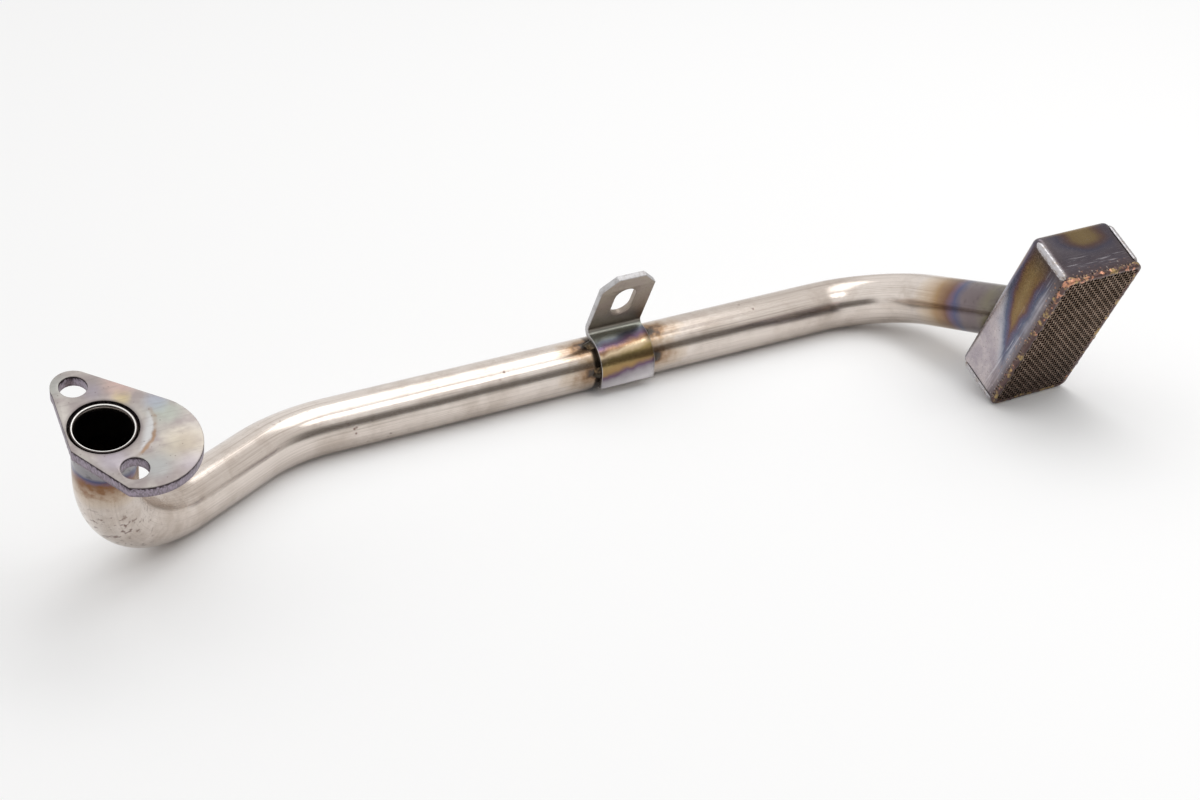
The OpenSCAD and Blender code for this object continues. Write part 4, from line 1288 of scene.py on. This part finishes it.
class PICKUP_OT_braze(bpy.types.Operator):
    """Builds the lumpy braze round the screen's rim"""
    bl_idname = "pickup.braze"
    bl_label = "Build braze"
    count, rounds = 900, 12  # points along the braze and round its section
    above = 0.7  # height over the box's rim, at most
    lap_out, lap_mid = 0.3, 0.4  # how far out the braze over the screen's edge starts, and its height over the rim

    def execute(self, context):
        """Runs one lumpy ring down over the box's sides and another in over the screen's edge."""
        k, size = layout(context.scene), context.scene.pickup_box
        deep = mm(size.deep)
        ring = rounded_ring(*box_sides(size), mm(size.fold_r), self.count)
        out = np.roll(ring, -1, axis=0) - np.roll(ring, 1, axis=0)
        out = np.stack([out[:, 1], -out[:, 0]], axis=1)
        out /= np.linalg.norm(out, axis=1)[:, None]
        turns = [2 * math.pi * j / self.rounds for j in range(self.rounds)]
        points = []
        for (x, y), (ox, oy) in zip(ring, out):
            lump, fine = 0.5 + 0.5 * lumps(x, y, 2.6, 3.0), lumps(x, y, 0.9, 8.0)
            fat = mm(size.braze_t) * held(0.05 + 1.2 * lump + 0.2 * fine, 0.30)
            low_z = deep - mm(size.braze_lap) * held(0.1 + 1.1 * lump + 0.25 * fine, 0.3)
            top_z = deep + self.above * held(0.3 + 0.8 * lump, 0.35)
            for a in turns:
                away = CLEAR + (fat - CLEAR) * (0.5 + 0.5 * math.cos(a))
                depth = 0.5 * (low_z + top_z) + 0.5 * (top_z - low_z) * math.sin(a)
                points.append(in_box(k, x + away * ox, y + away * oy, depth))
        first = len(points)
        for (x, y), (ox, oy) in zip(ring, out):
            lump, fine = 0.5 + 0.5 * lumps(x, y, 3.1, 12.0), lumps(x, y, 1.1, 17.0)
            wide = mm(size.braze_in) * held(0.25 + 0.8 * lump + 0.25 * fine, 0.35)
            for a in turns:
                away = self.lap_out - 0.5 * (wide + self.lap_out) * (1 - math.cos(a))
                depth = deep + self.lap_mid + (0.3 + 0.3 * lump) * math.sin(a)
                points.append(in_box(k, x + away * ox, y + away * oy, depth))
        faces = grid(len(ring), self.rounds, close_rows=True)
        faces += shifted(faces, first)
        piece("braze_rim", points, faces, braze_finish(context.scene, k), ["screen_braze"])
        return {"FINISHED"}


class PICKUP_OT_stage(bpy.types.Operator):
    """Sets up the pale floor, two soft lamps, the light from all round and the camera"""
    bl_idname = "pickup.stage"
    bl_label = "Build stage"
    lamp_x, lamp_z, lamp_wide = 0.40, 1.0, 0.42
    lamps = (("back_lamp", 0.24, 0.73, 0.8), ("front_lamp", -0.49, 0.32, 1.4))  # name, y, depth, share of the power
    dark_room, dim_right = (0.17, 0.158, 0.147), (0.78, 0.76, 0.74)

    def execute(self, context):
        """Adds the stage, which isn't part of the pickup."""
        scene, size = context.scene, context.scene.pickup_stage
        half = size.floor_side / 2
        mesh = bpy.data.meshes.new("floor")
        mesh.from_pydata([(-half, -half, 0), (half, -half, 0), (half, half, 0), (-half, half, 0)], [], [(0, 1, 2, 3)])
        white = Finish("floor_white", 0.0)
        mesh.materials.append(white.done(tuple(scene.pickup_colours.floor), 1.0))
        white.put(white.surface.inputs["Specular IOR Level"], 0.0)
        white.put(white.surface.inputs["Emission Color"], (1.0, 1.0, 1.0))
        away = white.vector("LENGTH", white.place())
        lift = white.step(away, mm(size.far_from), mm(size.far_to), size.floor_lift, size.far_lift)
        white.put(white.surface.inputs["Emission Strength"], white.times(white.seen(), lift))
        floor = bpy.data.objects.new("floor", mesh)

        lamps = []
        for name, y, deep, share in self.lamps:
            light = bpy.data.lights.new(name, "AREA")
            light.shape = "RECTANGLE"
            light.size, light.size_y = self.lamp_wide, deep
            light.energy = size.lamp_power * self.lamp_wide * deep * share
            lamps.append(bpy.data.objects.new(name, light))
            lamps[-1].location = (self.lamp_x, y, self.lamp_z)

        camera = bpy.data.cameras.new("camera")
        camera.sensor_width, camera.sensor_fit, camera.lens = 36.0, "HORIZONTAL", size.lens
        camera.clip_start, camera.clip_end = 0.01, 50.0
        eye = bpy.data.objects.new("camera", camera)
        eye.location = size.eye
        eye.rotation_euler = (math.pi / 2 - size.pitch, 0.0, -size.heading)
        for obj in (floor, eye, *lamps):
            scene.collection.objects.link(obj)
        scene.camera = eye
        scene.view_settings.view_transform = "Standard"
        self.sky(scene, size.sky)
        return {"FINISHED"}

    def sky(self, scene, strength):
        """Light from all round: dark low down, which reflections show in front only, and dimmer to the right."""
        scene.world = bpy.data.worlds.new("studio")
        scene.world.use_nodes = True
        m = Nodes(scene.world.node_tree)
        back = m.new("Background")
        m.put(m.new("OutputWorld").inputs["Surface"], back.outputs["Background"])
        x, y, z = m.parts(m.new("TexCoord").outputs["Generated"])
        seen = m.seen()
        unseen = m.less(1.0, m.new("LightPath").outputs["Is Camera Ray"])
        front = m.math("MAXIMUM", m.less(1.0, seen), m.step(y, -0.75, -0.25, 1.0, 0.0))
        dark = m.times(unseen, front, m.step(z, 0.34, 0.58, 1.0, 0.0))
        right = m.times(unseen, seen, m.step(x, 0.38, 0.5))
        tone = m.mix(right, (1.0, 1.0, 1.0), self.dim_right)
        m.put(back.inputs["Color"], m.mix(dark, tone, self.dark_room))
        m.put(back.inputs["Strength"], m.add(strength, m.times(seen, 1.0 - strength)))


class PICKUP_PT_panel(bpy.types.Panel):
    """Sizes, colours and build buttons"""
    bl_idname = "PICKUP_PT_panel"
    bl_label = "Oil pickup tube"
    bl_space_type = "VIEW_3D"
    bl_region_type = "UI"
    bl_category = "Pickup"

    def draw(self, context):
        """Lists every setting under its group, then the operators."""
        for name, group in GROUPS.items():
            block = self.layout.box()
            block.label(text=group.__doc__)
            settings = getattr(context.scene, name)
            for key in group.__annotations__:
                block.prop(settings, key)
        for operator in OPERATORS:
            self.layout.operator(operator.bl_idname)


GROUPS = {
    "pickup_tube": PickupTubeSizes,
    "pickup_plate": PickupPlateSizes,
    "pickup_strap": PickupStrapSizes,
    "pickup_box": PickupBoxSizes,
    "pickup_colours": PickupColours,
    "pickup_stage": PickupStage,
}
OPERATORS = (
    PICKUP_OT_tube, PICKUP_OT_plate, PICKUP_OT_flange_bead, PICKUP_OT_strap, PICKUP_OT_tacks, PICKUP_OT_box,
    PICKUP_OT_seams, PICKUP_OT_entry_bead, PICKUP_OT_screen, PICKUP_OT_braze, PICKUP_OT_stage,
)


def register():
    """Adds the settings, operators and panel."""
    for name, group in GROUPS.items():
        bpy.utils.register_class(group)
        setattr(bpy.types.Scene, name, PointerProperty(type=group))
    for kind in OPERATORS + (PICKUP_PT_panel,):
        bpy.utils.register_class(kind)


def unregister():
    """Takes the panel, operators and settings away again."""
    for kind in (PICKUP_PT_panel,) + OPERATORS[::-1]:
        bpy.utils.unregister_class(kind)
    for name, group in GROUPS.items():
        delattr(bpy.types.Scene, name)
        bpy.utils.unregister_class(group)


def main():
    """Builds every piece and the stage."""
    register()
    bpy.ops.pickup.tube()
    bpy.ops.pickup.plate()
    bpy.ops.pickup.flange_bead()
    bpy.ops.pickup.strap()
    bpy.ops.pickup.tacks()
    bpy.ops.pickup.box()
    bpy.ops.pickup.seams()
    bpy.ops.pickup.entry_bead()
    bpy.ops.pickup.screen()
    bpy.ops.pickup.braze()
    bpy.ops.pickup.stage()


if __name__ == "__main__":
    main()
